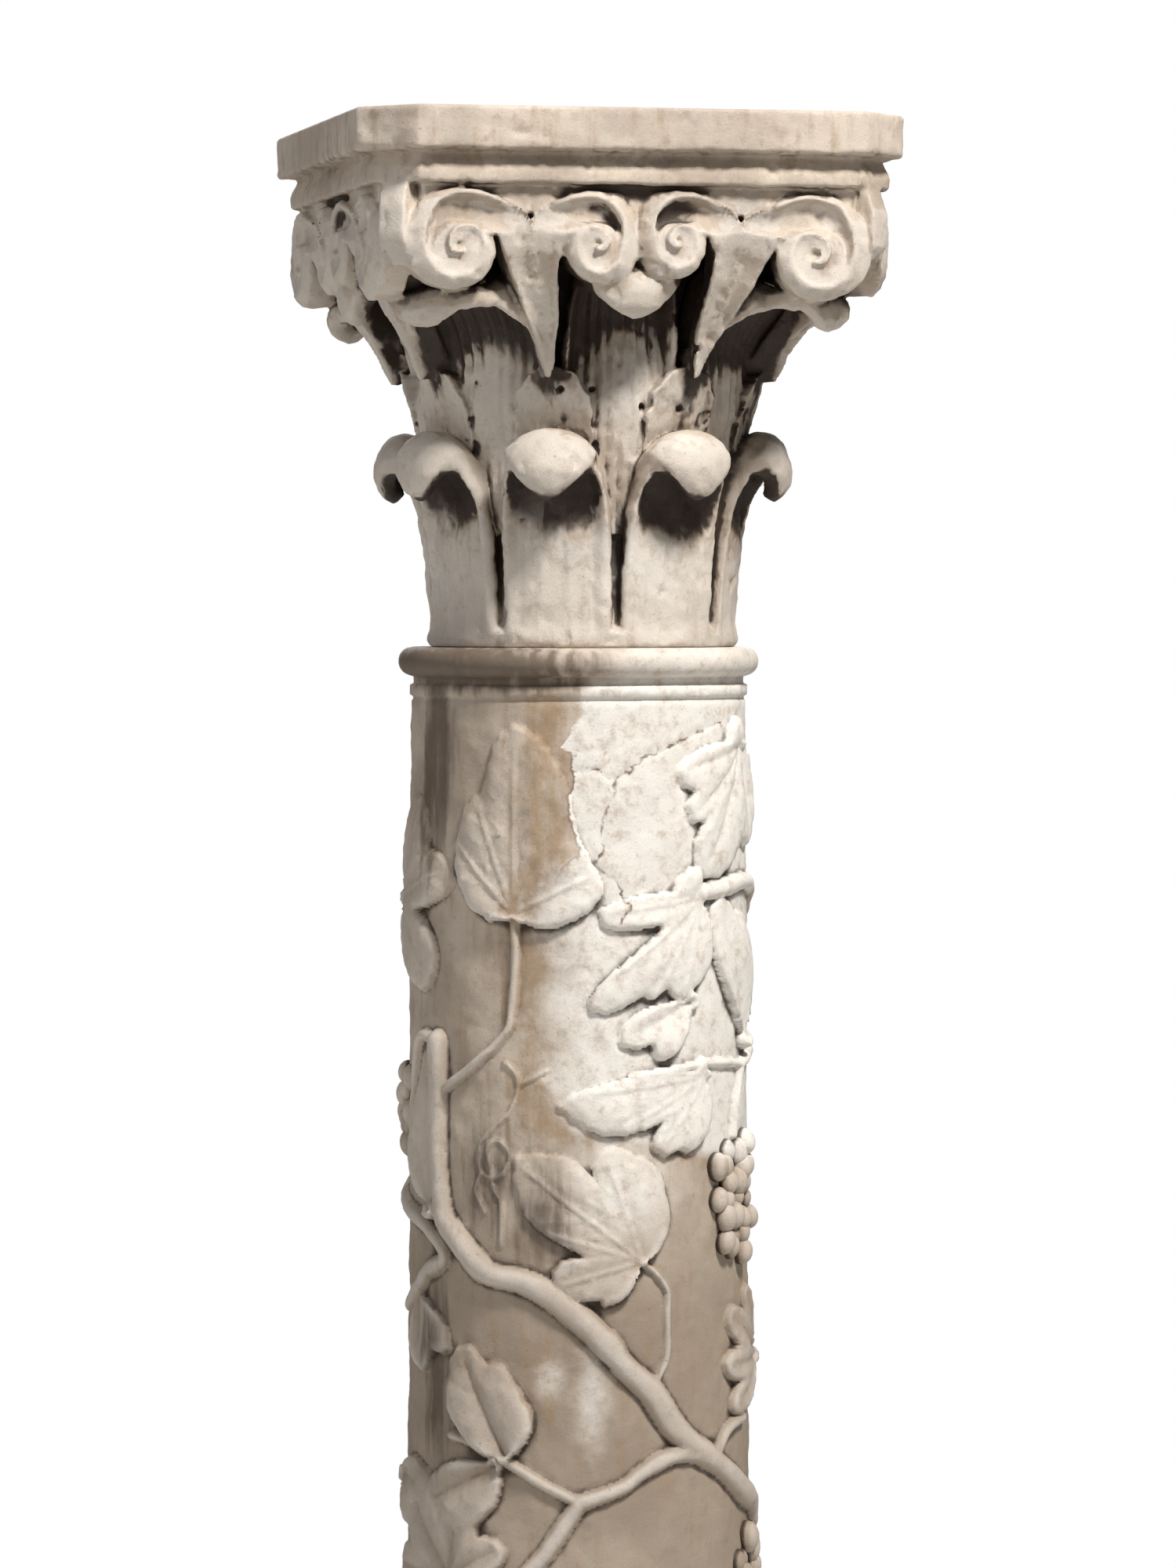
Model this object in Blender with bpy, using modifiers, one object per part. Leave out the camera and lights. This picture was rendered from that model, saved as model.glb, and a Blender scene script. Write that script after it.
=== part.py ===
"""A carved marble column: a moulded base, a shaft wound with a fruiting vine,
and a capital of two rings of leaves and sixteen scrolls under an eight-sided slab."""

import math

import bmesh
import bpy
import numpy as np
from mathutils import Vector

# Heights of the three stones, and the bed joint between two of them.
BASE_HEIGHT = 0.160
SHAFT_HEIGHT = 1.800
CAPITAL_HEIGHT = 0.466
BED_JOINT = 0.0003

# The base, on a square plinth.
PLINTH_SIDE = 0.420
PLINTH_HEIGHT = 0.052
LOWER_ROLL_RADIUS = 0.206
UPPER_ROLL_RADIUS = 0.184
HOLLOW_RADIUS = 0.170

# The shaft, which widens slightly towards its foot.
NECK_RADIUS = 0.150
FOOT_RADIUS = 0.158
RING_RADIUS = 0.162
RING_HEIGHT = 0.026
FILLET_PROUD = 0.002
FILLET_TOP = 0.033
FILLET_FOOT = 0.045
FOOT_FILLET_PROUD = 0.010
FOOT_FILLET_HEIGHT = 0.022

# How far the vine stands out of the shaft.
LEAF_PROUD = 0.009
STEM_PROUD = 0.010
GRAPE_RADIUS = 0.0105
TURN = 360

# How fast the long stems run down the shaft, in mm for each degree.
MAIN_SLOPE = 2.03
LOW_SLOPE = 2.0
BACK_SLOPE = 1.5

# The capital, which sits slightly off the shaft's axis.
CAPITAL_SHIFT = 0.004
CAPITAL_FOOT_RADIUS = 0.140
FOOT_DRUM_HEIGHT = 0.009
BELL_RADIUS = 0.133

# The scrolls, measured in the plane of one face of the capital, and the strip between two faces.
SCROLL_PLANE = 0.231
SCROLL_DEPTH = 0.034
CHANNEL_DEPTH = 0.0075
STRIP_REACH = 0.308
STRIP_HALF_WIDTH = 0.013

# The slab, a square with its corners cut off.
SLAB_HALF_WIDTH = 0.244
SLAB_CORNER_CUT = 0.046
SLAB_UNDERSIDE = CAPITAL_HEIGHT - 0.066
SLAB_STEP = CAPITAL_HEIGHT - 0.037
SLAB_INSET = 0.0115
SLAB_HOLLOW = 0.017

# How far the bell runs up into the slab.
BELL_LAP = 0.004

# How finely the shapes are cut.
STEPS = 36
FIELD_ROWS = 300
FIELD_COLUMNS = 216
SHAFT_TRIANGLES = 2600
LEAF_PARTS = 6
LEAF_ROWS = 40
STALK_PARTS = 3
SCROLL_DEGREES = 12
VOXEL = 0.0028
CAPITAL_TRIANGLES = 4000

# The capital's leaves and scrolls are drawn for a capital 466 mm high and twice 244 mm wide, and
# are stretched to this one's size.
STRETCH = CAPITAL_HEIGHT / 0.466
SPREAD = SLAB_HALF_WIDTH / 0.244

SHAFT_FOOT = BASE_HEIGHT + BED_JOINT
RING_TOP = SHAFT_FOOT + SHAFT_HEIGHT
CAPITAL_FOOT = RING_TOP + BED_JOINT
VINE_TOP = FILLET_FOOT
VINE_FOOT = SHAFT_HEIGHT - FOOT_FILLET_HEIGHT


# Clear the scene, and make one collection for the column.
for old in list(bpy.data.objects):
    bpy.data.objects.remove(old, do_unlink=True)
column = bpy.data.collections.new("carved marble column")
bpy.context.scene.collection.children.link(column)


def marble(name, colour, roughness):
    """A Principled material for one stone."""
    material = bpy.data.materials.new(name)
    material.use_nodes = True
    surface = material.node_tree.nodes["Principled BSDF"]
    surface.inputs["Base Color"].default_value = (*colour, 1)
    surface.inputs["Roughness"].default_value = roughness
    surface.inputs["Metallic"].default_value = 0
    return material


def new_object(name, points, faces):
    """An object from points and faces, in the column's collection."""
    mesh = bpy.data.meshes.new(name)
    mesh.from_pydata([tuple(p) for p in points], [], faces)
    mesh.update()
    thing = bpy.data.objects.new(name, mesh)
    column.objects.link(thing)
    return thing


def settle(thing):
    """Puts what an object's modifiers make into its mesh."""
    graph = bpy.context.evaluated_depsgraph_get()
    mesh = bpy.data.meshes.new_from_object(thing.evaluated_get(graph))
    thing.modifiers.clear()
    thing.data = mesh
    return thing


def turned(name, profile, steps=STEPS):
    """A turned body from (radius, height) points that run down its outer side."""
    top, foot = profile[0][1], profile[-1][1]
    points = [(0, 0, top)] + [(r, 0, z) for r, z in profile] + [(0, 0, foot)]
    mesh = bpy.data.meshes.new(name)
    mesh.from_pydata(points, [(i, i + 1) for i in range(len(points) - 1)], [])
    thing = bpy.data.objects.new(name, mesh)
    column.objects.link(thing)
    lathe = thing.modifiers.new("Lathe", "SCREW")
    lathe.steps = steps
    lathe.render_steps = steps
    lathe.use_merge_vertices = True
    lathe.merge_threshold = 0.0001
    return settle(thing)


def arc(centre_r, centre_z, radius_r, radius_z, start, stop, count):
    """Points of a moulding's curve, from one angle to another in degrees."""
    angles = [math.radians(start + (stop - start) * i / count) for i in range(count + 1)]
    return [(centre_r + radius_r * math.cos(a), centre_z + radius_z * math.sin(a)) for a in angles]


def outward(thing):
    """Makes a body's faces look outwards, as triangles."""
    work = bmesh.new()
    work.from_mesh(thing.data)
    bmesh.ops.remove_doubles(work, verts=work.verts, dist=0.00001)
    bmesh.ops.triangulate(work, faces=work.faces)
    bmesh.ops.recalc_face_normals(work, faces=work.faces)
    work.to_mesh(thing.data)
    work.free()
    return thing


def united(first, others):
    """One closed body from several that overlap."""
    for other in others:
        boolean = first.modifiers.new("Union", "BOOLEAN")
        boolean.operation = "UNION"
        boolean.solver = "EXACT"
        boolean.object = other
        settle(first)
        bpy.data.objects.remove(other, do_unlink=True)
    return first


def thinned(thing, triangles):
    """Fewer triangles, kept where the carving needs them."""
    outward(thing)
    reduce = thing.modifiers.new("Decimate", "DECIMATE")
    reduce.ratio = triangles / len(thing.data.polygons)
    return settle(thing)


def smooth_path(points, parts=6):
    """A Catmull-Rom curve through the points."""
    points = [Vector(p) for p in points]
    ends = [2 * points[0] - points[1]] + points + [2 * points[-1] - points[-2]]
    path = []
    for a, b, c, d in zip(ends, ends[1:], ends[2:], ends[3:]):
        for i in range(parts):
            t = i / parts
            bend = (2 * a - 5 * b + 4 * c - d) * t**2 + (3 * b - 3 * c + d - a) * t**3
            path.append(0.5 * (2 * b + (c - a) * t + bend))
    return path + [points[-1]]


# The base: a square plinth, then two rolls with a hollow between them.
def make_base():
    """The plinth and the mouldings on it, as one body."""
    half = PLINTH_SIDE / 2
    corners = [(-half, -half), (half, -half), (half, half), (-half, half)]
    points = [(x, y, z) for z in (0, PLINTH_HEIGHT) for x, y in corners]
    faces = [(3, 2, 1, 0), (4, 5, 6, 7)] + [(i, (i + 1) % 4, 4 + (i + 1) % 4, 4 + i) for i in range(4)]
    plinth = new_object("base", points, faces)
    rest = BASE_HEIGHT - PLINTH_HEIGHT
    lower_roll = 0.36 * rest
    upper_roll = 0.24 * rest
    top_fillet = 0.07 * rest
    upper_centre = BASE_HEIGHT - top_fillet - upper_roll / 2
    lower_centre = PLINTH_HEIGHT + lower_roll / 2
    hollow_top = upper_centre - upper_roll / 2
    hollow_foot = lower_centre + lower_roll / 2
    fillet = 0.05 * rest
    lip = HOLLOW_RADIUS + 0.008
    middle = (hollow_top + hollow_foot) / 2
    profile = [(HOLLOW_RADIUS, BASE_HEIGHT), (HOLLOW_RADIUS, BASE_HEIGHT - top_fillet)]
    profile += arc(UPPER_ROLL_RADIUS - upper_roll / 2, upper_centre, upper_roll / 2, upper_roll / 2, 75, -75, 4)
    profile += [(lip, hollow_top), (lip, hollow_top - fillet)]
    profile += [(HOLLOW_RADIUS, middle + fillet), (HOLLOW_RADIUS, middle - fillet)]
    profile += [(lip + 0.009, hollow_foot + fillet), (lip + 0.009, hollow_foot)]
    profile += arc(LOWER_ROLL_RADIUS - lower_roll / 2, lower_centre, lower_roll / 2, lower_roll / 2, 75, -60, 4)
    profile += [(LOWER_ROLL_RADIUS - lower_roll / 2, PLINTH_HEIGHT - 0.010)]
    return united(plinth, [turned("mouldings", profile)])


# The vine is laid out on the unrolled shaft: degrees round it from the middle of the front
# face, anticlockwise seen from above, and millimetres down from the top of the ring.
FRONT_STEM = [(-67, 350), (-67, 425), (-64, 500), (-57, 522), (-45, 550), (-19, 574), (-4, 610), (12, 655)]
FRONT_STEM += [(30, 708), (58, 753), (76, 775)]
CROSSING_STEM = [(-91, 590), (-82, 576), (-72, 555), (-63, 539), (-77, 512), (-101, 499)]
LEAF_FOUR_STEM = [(67, 210), (46, 213), (33, 216)]
SIDE_SHOOT = [(43, 729), (30, 715), (22, 713), (8, 728), (-12, 752)]
THIN_SHOOT = [(-12, 752), (-20, 742), (-38, 715), (-59, 698)]
LOW_SHOOT = [(-12, 752), (-20, 784), (-27, 809)]

# Each stem: its points, its half width in mm.
STEMS = [
    (SIDE_SHOOT, 8),
    (THIN_SHOOT, 5),
    ([(38, 724), (43, 705), (58, 689)], 6),
    ([(12, 655), (18, 623), (18, 575), (9, 541)], 4),
    ([(-34, 237), (-34, 280), (-38, 341), (-50, 369), (-65, 394)], 5),
    ([(58, 372), (37, 370), (6, 377)], 4),
    ([(58, 373), (54, 405), (52, 435)], 4),
    ([(-38, 365), (-33, 382), (-41, 421), (-48, 450), (-41, 467), (-36, 445), (-42, 460), (-39, 527)], 2.5),
]


def descent(start, slope, sweep, wave=14):
    """A stem that winds on round the shaft from a point, by mm down for each degree."""
    azimuth, drop = start
    steps = max(2, round(abs(sweep) / 20))
    return [
        (azimuth + sweep * i / steps, drop + slope * sweep * i / steps + wave * math.sin(i * 1.4))
        for i in range(1, steps + 1)
    ]


# The main stem winds on from the right edge down to the foot. The low shoot winds the other way,
# and the crossing stem winds up round the back to the stalk of the fourth leaf.
main_stem = FRONT_STEM + descent(FRONT_STEM[-1], MAIN_SLOPE, 455)
low_stem = LOW_SHOOT + descent(LOW_SHOOT[-1], -LOW_SLOPE, -440)
back_stem = CROSSING_STEM + descent(CROSSING_STEM[-1], BACK_SLOPE, -170, 10)
back_stem += [(az - TURN, d) for az, d in LEAF_FOUR_STEM]
STEMS += [(main_stem, 11), (low_stem, 8), (back_stem, 7)]
STEMS += [([(135, 318), (95, 352), (58, 372)], 5)]

# Each leaf: where its stalk joins it, the way its middle rib points (clockwise from up),
# and its lobes, each as degrees from that rib, reach in mm and half width in degrees.
LEAVES = [
    ((-34, 233), 0, [(0, 164, 40), (62, 80, 42), (-23, 118, 16), (-56, 100, 40)]),
    ((-101, 225), 80, [(-44, 109, 38), (-5, 113, 30), (51, 109, 40)]),
    ((58, 88), 206, [(0, 130, 26), (24, 100, 22), (52, 98, 32), (-30, 92, 30), (-77, 62, 45)]),
    ((32, 221), 230, [(0, 141, 24), (-34, 94, 22), (-62, 70, 28), (42, 104, 26), (75, 60, 30)]),
    ((28, 312), 240, [(0, 78, 24), (-28, 55, 25)]),
    ((34, 378), 262, [(0, 144, 20), (-16, 118, 22), (-54, 86, 24), (-85, 56, 26), (16, 108, 20), (42, 72, 28)]),
    ((8, 539), 310, [(0, 144, 24), (-48, 78, 24), (-82, 60, 28), (30, 108, 24), (56, 88, 26), (84, 56, 24)]),
    ((-37, 713), 329, [(0, 102, 34), (34, 76, 34), (-18, 84, 26)]),
    ((-40, 725), 232, [(0, 86, 34), (-32, 70, 24), (24, 78, 26), (-60, 42, 24)]),
    ((-70, 500), 355, [(0, 145, 16), (-16, 118, 16), (-28, 84, 20)]),
    ((-80, 575), 170, [(0, 72, 40), (-35, 70, 30)]),
    ((-100, 745), 90, [(0, 66, 50), (40, 60, 34)]),
    ((78, 640), 270, [(0, 90, 22), (30, 95, 20), (-28, 88, 20), (58, 80, 20)]),
    ((60, 350), 340, [(0, 138, 24), (16, 118, 22)]),
]
COMMON_LOBES = [(0, 118, 34), (48, 92, 30), (-48, 92, 30), (100, 62, 34), (-100, 62, 34)]

# Each bunch: the middle of its top row, and how many grapes each row has.
FRONT_BUNCH = [3, 4, 3, 4, 4, 3, 2]
BACK_BUNCH = [3, 4, 4, 3, 2, 1]
BUNCHES = [((52, 446), FRONT_BUNCH), ((-98, 385), [3, 3, 3, 3, 2]), ((66, 800), BACK_BUNCH)]


def leafing(path, first, last, spacing, every_bunch):
    """Leaves and bunches on alternate sides of a winding stem, where it is out of sight or low."""
    curve = smooth_path([(az, d, 0) for az, d in path])
    placed = 0
    mark = first
    direction = 1 if last > first else -1
    for here, there in zip(curve, curve[1:]):
        if (here.x - mark) * direction < 0 or (here.x - last) * direction > 0:
            continue
        mark += spacing * direction
        side = 1 if placed % 2 else -1
        joint = (here.x + 6 * direction, here.y + side * 52)
        if joint[1] < 80 or joint[1] > VINE_FOOT * 1000 - 130:
            continue
        STEMS.append(([(here.x, here.y), (here.x + 8 * direction, here.y + side * 22), joint], 4))
        if every_bunch and placed % every_bunch == every_bunch - 1 and side > 0:
            BUNCHES.append((joint, BACK_BUNCH))
        else:
            heading = (40 if side < 0 else 145) * direction
            LEAVES.append((joint, heading, COMMON_LOBES))
        placed += 1


leafing(main_stem, 100, 505, 37, 4)
leafing(low_stem, -52, -455, 37, 4)
leafing(back_stem, -128, -275, 37, 4)
BUNCHES.append(((180, 150), BACK_BUNCH))


def unrolled(azimuth, drop):
    """Metres round the shaft and metres up, from degrees and millimetres down."""
    return math.radians(azimuth) * NECK_RADIUS, -drop / 1000


def ground_radius(drop):
    """The shaft's plain radius, so many metres under the top of the ring."""
    return NECK_RADIUS + (FOOT_RADIUS - NECK_RADIUS) * drop / SHAFT_HEIGHT


def wrapped(distance):
    """The shorter way round the shaft."""
    round_it = math.tau * NECK_RADIUS
    return (distance + round_it / 2) % round_it - round_it / 2


def raise_stem(relief, across, up, path, half_width):
    """Lays a rounded stem along a path."""
    curve = smooth_path([(*unrolled(az, d), 0) for az, d in path])
    for a, b in zip(curve, curve[1:]):
        rows = np.where(np.abs(up - (a.y + b.y) / 2) < abs(a.y - b.y) / 2 + half_width)[0]
        if not len(rows):
            continue
        dx = wrapped(across[None, :] - a.x)
        dy = up[rows, None] - a.y
        along = b - a
        t = np.clip((dx * along.x + dy * along.y) / max(along.length_squared, 1e-12), 0, 1)
        away = np.hypot(dx - t * along.x, dy - t * along.y) / half_width
        height = STEM_PROUD * min(1, 0.5 + half_width / 0.02) * np.sqrt(np.clip(1 - away**2, 0, 1))
        relief[rows] = np.maximum(relief[rows], height)


def raise_leaf(relief, across, up, joint, heading, lobes):
    """Swells a leaf out of the ground, lobe by lobe."""
    x, y = unrolled(*joint)
    longest = max(reach for _, reach, _ in lobes) / 1000
    rows = np.where(np.abs(up - y) < longest)[0]
    dx = wrapped(across[None, :] - x)
    dy = up[rows, None] - y
    angle = np.degrees(np.arctan2(dx, dy)) - heading
    reach_here = np.full(angle.shape, 0.012)
    for middle, reach, half in lobes:
        t = np.abs((angle - middle + 180) % 360 - 180) / half
        petal = reach / 1000 * np.clip(1 - t**2.2, 0, 1) ** 0.6
        reach_here = np.maximum(reach_here, petal)
    edge = np.hypot(dx, dy) / reach_here
    height = LEAF_PROUD * np.clip(1 - edge**6, 0, 1) ** 0.5
    relief[rows] = np.maximum(relief[rows], height)


def raise_bunch(relief, across, up, top, rows_of):
    """Stacks grapes in rows that taper downwards."""
    x, y = unrolled(*top)
    pitch = 1.75 * GRAPE_RADIUS
    for row, count in enumerate(rows_of):
        for place in range(round(count)):
            gx = x + (place - (count - 1) / 2) * pitch
            gy = y - row * pitch * 0.9
            rows = np.where(np.abs(up - gy) < GRAPE_RADIUS * 1.1)[0]
            away = np.hypot(wrapped(across[None, :] - gx), up[rows, None] - gy) / (GRAPE_RADIUS * 1.1)
            height = (GRAPE_RADIUS + 0.002) * np.clip(1 - away**2, 0, 1) ** 0.5
            relief[rows] = np.maximum(relief[rows], height)


# The shaft: its carved field, between a ring and fillet above and a fillet below.
def make_field():
    """The carved length of the shaft, as a grid wrapped round it."""
    across = np.arange(FIELD_COLUMNS) / FIELD_COLUMNS * math.tau * NECK_RADIUS
    up = -np.linspace(VINE_TOP, VINE_FOOT, FIELD_ROWS)
    relief = np.zeros((FIELD_ROWS, FIELD_COLUMNS))
    for joint, heading, lobes in LEAVES:
        raise_leaf(relief, across, up, joint, heading, lobes)
    for path, half_width in STEMS:
        raise_stem(relief, across, up, path, half_width / 1000)
    for top, rows_of in BUNCHES:
        raise_bunch(relief, across, up, top, rows_of)
    fade = np.clip((-up - VINE_TOP) / 0.010, 0, 1) * np.clip((VINE_FOOT + up) / 0.010, 0, 1)
    radius = ground_radius(-up)[:, None] + relief * fade[:, None]
    azimuth = across / NECK_RADIUS
    points = np.stack(
        [
            radius * np.sin(azimuth),
            -radius * np.cos(azimuth),
            np.broadcast_to((RING_TOP + up)[:, None], radius.shape),
        ],
        axis=-1,
    ).reshape(-1, 3)
    wide = FIELD_COLUMNS
    faces = [
        (r * wide + c, (r + 1) * wide + c, (r + 1) * wide + (c + 1) % wide, r * wide + (c + 1) % wide)
        for r in range(FIELD_ROWS - 1)
        for c in range(wide)
    ]
    faces.append(tuple(range(wide)))
    faces.append(tuple((FIELD_ROWS - 1) * wide + c for c in reversed(range(wide))))
    return thinned(new_object("field", points.tolist(), faces), SHAFT_TRIANGLES)


def make_shaft():
    """The carved field between its ring and its foot fillet."""
    half = RING_HEIGHT / 2
    neck = NECK_RADIUS - 0.0015
    fillet = NECK_RADIUS + FILLET_PROUD
    ring = arc(RING_RADIUS - half, RING_TOP - half, half, half, 80, -80, 5)
    ring += [(neck, RING_TOP - RING_HEIGHT), (neck, RING_TOP - FILLET_TOP + 0.002)]
    ring += [(fillet, RING_TOP - FILLET_TOP), (fillet, RING_TOP - FILLET_FOOT + 0.002)]
    ring += [(neck, RING_TOP - FILLET_FOOT), (neck, RING_TOP - VINE_TOP - 0.020)]
    ring[0] = (ring[0][0], RING_TOP)
    foot_ground = ground_radius(SHAFT_HEIGHT)
    proud = foot_ground + FOOT_FILLET_PROUD
    foot_top = SHAFT_FOOT + FOOT_FILLET_HEIGHT
    foot = [(foot_ground - 0.002, foot_top + 0.040), (foot_ground, foot_top + 0.012)]
    foot += [(foot_ground + 0.003, foot_top + 0.004), (proud, foot_top - 0.002), (proud, SHAFT_FOOT)]
    return united(turned("shaft", ring), [make_field(), turned("foot fillet", foot)])


def round_axis(azimuth, radius, height):
    """Points so many radians round the capital's axis from the middle of the front face."""
    across = CAPITAL_SHIFT + SPREAD * radius * np.sin(azimuth)
    return np.stack([across, -SPREAD * radius * np.cos(azimuth), CAPITAL_FOOT + STRETCH * height], axis=-1)


def on_face(offset, depth, height):
    """Points seen from the front face: metres to its right, metres out of the axis, metres up."""
    across = CAPITAL_SHIFT + SPREAD * offset
    return np.stack([across, -SPREAD * depth, CAPITAL_FOOT + STRETCH * height], axis=-1)


def loft(name, rings):
    """A closed body through rings of as many points each, with both ends capped."""
    count = len(rings[0])
    points = [p for ring in rings for p in ring]
    faces = [
        (r * count + i, r * count + (i + 1) % count, (r + 1) * count + (i + 1) % count, (r + 1) * count + i)
        for r in range(len(rings) - 1)
        for i in range(count)
    ]
    faces += [tuple(reversed(range(count))), tuple((len(rings) - 1) * count + i for i in range(count))]
    return outward(new_object(name, points, faces))


def ring_of(name, rings, count, first):
    """Bodies from the same rings, turned round the capital's axis by even steps."""
    centre = np.array([CAPITAL_SHIFT, 0, 0])
    bodies = []
    for i in range(count):
        angle = math.radians(first + TURN / count * i)
        cosine, sine = math.cos(angle), math.sin(angle)
        turn = np.array([[cosine, -sine, 0], [sine, cosine, 0], [0, 0, 1]])
        bodies.append(loft(name, (rings - centre) @ turn.T + centre))
    return bodies


def ramp(low, high, value):
    """A smooth step from nothing at low to one at high."""
    t = np.clip((value - low) / (high - low), 0, 1)
    return t * t * (3 - 2 * t)


def tongue(plan, hollow_depth, hollow_start, rim):
    """Rings of a leaf that follows a spine, hollowed on its face, with a hooked and domed tip.

    The plan has one row for each place on the spine: radius, height, half width and thickness."""
    spots = np.array([tuple(p) for p in smooth_path([row[:3] for row in plan], LEAF_PARTS)])
    run = np.concatenate([[0], np.cumsum(np.hypot(*np.diff(spots[:, :2], axis=0).T))])
    v = np.linspace(0, 1, LEAF_ROWS)
    r, z, widths = (np.interp(v * run[-1], run, spots[:, i]) for i in range(3))
    thick = np.interp(v * run[-1], run[::LEAF_PARTS], [row[3] for row in plan])
    widths *= np.sqrt(np.clip(1 - ramp(0.93, 1.02, v) ** 2, 0.1, 1))
    dr, dz = np.gradient(r), np.gradient(z)
    size = np.hypot(dr, dz)
    face_u = np.array([-1, -0.94, -0.86, -0.74, -0.5, -0.25, 0, 0.25, 0.5, 0.74, 0.86, 0.94, 1])
    back_u = np.array([0.9, 0.6, 0.3, 0, -0.3, -0.6, -0.9])
    inside = ramp(1, rim, np.abs(face_u))[None, :]
    hollow = (0.003 + hollow_depth * ramp(hollow_start, hollow_start + 0.3, v) * ramp(0.95, 0.8, v))[:, None]
    edge = np.sqrt(np.clip(1 - np.abs(face_u) ** 8, 0, 1))[None, :]
    face = (0.5 * thick[:, None] - hollow * inside) * edge
    hooked = ramp(0.70, 0.86, v)[:, None]
    dome = np.sqrt(1 - np.abs(back_u) ** 2.4)[None, :]
    to_bell = np.maximum(0.5 * thick, r - BELL_RADIUS)[:, None] * (1 - hooked)
    back = -to_bell - thick[:, None] * hooked * (0.20 + 0.55 * dome)
    sides = []
    for across, lift in ((face_u, face), (back_u, back)):
        radius = r[:, None] + (dz / size)[:, None] * lift
        height = z[:, None] - (dr / size)[:, None] * lift
        sides.append(round_axis(across[None, :] * widths[:, None] / r[:, None], radius, height))
    return np.concatenate(sides, axis=1)


# Each place on a leaf's spine: radius, height, half width and thickness.
LOWER_LEAF = [(0.132, 0.004, 0.0490, 0.014), (0.136, 0.060, 0.0495, 0.015), (0.140, 0.110, 0.0500, 0.017)]
LOWER_LEAF += [(0.145, 0.145, 0.0500, 0.018), (0.152, 0.165, 0.0470, 0.020), (0.161, 0.176, 0.0430, 0.021)]
LOWER_LEAF += [(0.169, 0.175, 0.0390, 0.021), (0.173, 0.165, 0.0350, 0.021), (0.172, 0.152, 0.0280, 0.019)]
LOWER_LEAF += [(0.166, 0.143, 0.0180, 0.013)]
CORNER_LEAF = [(0.126, 0.100, 0.050, 0.016), (0.137, 0.187, 0.053, 0.017), (0.149, 0.229, 0.058, 0.018)]
CORNER_LEAF += [(0.165, 0.262, 0.064, 0.021), (0.188, 0.290, 0.067, 0.022), (0.214, 0.303, 0.061, 0.020)]
CORNER_LEAF += [(0.236, 0.302, 0.052, 0.019), (0.2495, 0.295, 0.044, 0.019), (0.252, 0.286, 0.039, 0.018)]
CORNER_LEAF += [(0.246, 0.279, 0.030, 0.014)]
FACE_LEAF = [(0.126, 0.100, 0.050, 0.016), (0.137, 0.187, 0.052, 0.017), (0.146, 0.235, 0.053, 0.018)]
FACE_LEAF += [(0.155, 0.275, 0.053, 0.020), (0.164, 0.307, 0.050, 0.021), (0.174, 0.324, 0.044, 0.023)]
FACE_LEAF += [(0.185, 0.325, 0.040, 0.025), (0.193, 0.314, 0.036, 0.026), (0.194, 0.301, 0.025, 0.021)]
FACE_LEAF += [(0.188, 0.291, 0.010, 0.013)]

# The outer edge of a scroll round its eye, in mm by degrees: 0 points at the fork, 90 straight up.
# Then how far its side slopes back there.
OUTER_EDGE = {
    "outer": [(24, 70), (36, 62), (50, 56), (65, 52), (90, 50), (115, 48), (135, 42), (158, 37), (180, 34)]
    + [(200, 33), (240, 31), (288, 28), (338, 25), (400, 22), (460, 17), (521, 12), (620, 8), (670, 6)],
    "inner": [(22, 61), (36, 53), (50, 48), (70, 44), (90, 41), (115, 36), (140, 28), (165, 22), (190, 21)]
    + [(225, 24), (266, 26), (310, 23), (364, 18), (400, 17), (460, 13), (521, 10), (620, 7), (670, 5)],
}
SIDE_SLOPE = {
    "outer": [(60, 0.5), (90, 1.5), (115, 4), (135, 10), (158, 14), (185, 16), (215, 12), (245, 9), (400, 9)],
    "inner": [(60, 0.5), (90, 2), (115, 9), (140, 19), (165, 16), (190, 15), (225, 13), (266, 7), (400, 8)],
}

# The four scrolls of a face: kind, side of the face, where the eye is and how large it is.
SCROLLS = [("outer", -1, -0.159, 0.346, 0.96), ("inner", -1, -0.037, 0.349, 1.03)]
SCROLLS += [("inner", 1, 0.033, 0.352, 0.98), ("outer", 1, 0.157, 0.341, 1.02)]

# The stalk's middle line, as offset, depth and height, and its half width.
STALK = [(0.066, 0.163, 0.236), (0.070, 0.174, 0.262), (0.078, 0.190, 0.290), (0.087, 0.206, 0.318)]
STALK += [(0.093, 0.220, 0.342), (0.094, 0.228, 0.360)]
STALK_HALF = [0.0022, 0.0070, 0.0150, 0.0200, 0.0255, 0.0320]


def read_table(angle, rows):
    """Metres, from rows of degrees and millimetres."""
    return np.interp(angle, [a for a, _ in rows], [mm for _, mm in rows]) / 1000


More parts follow.
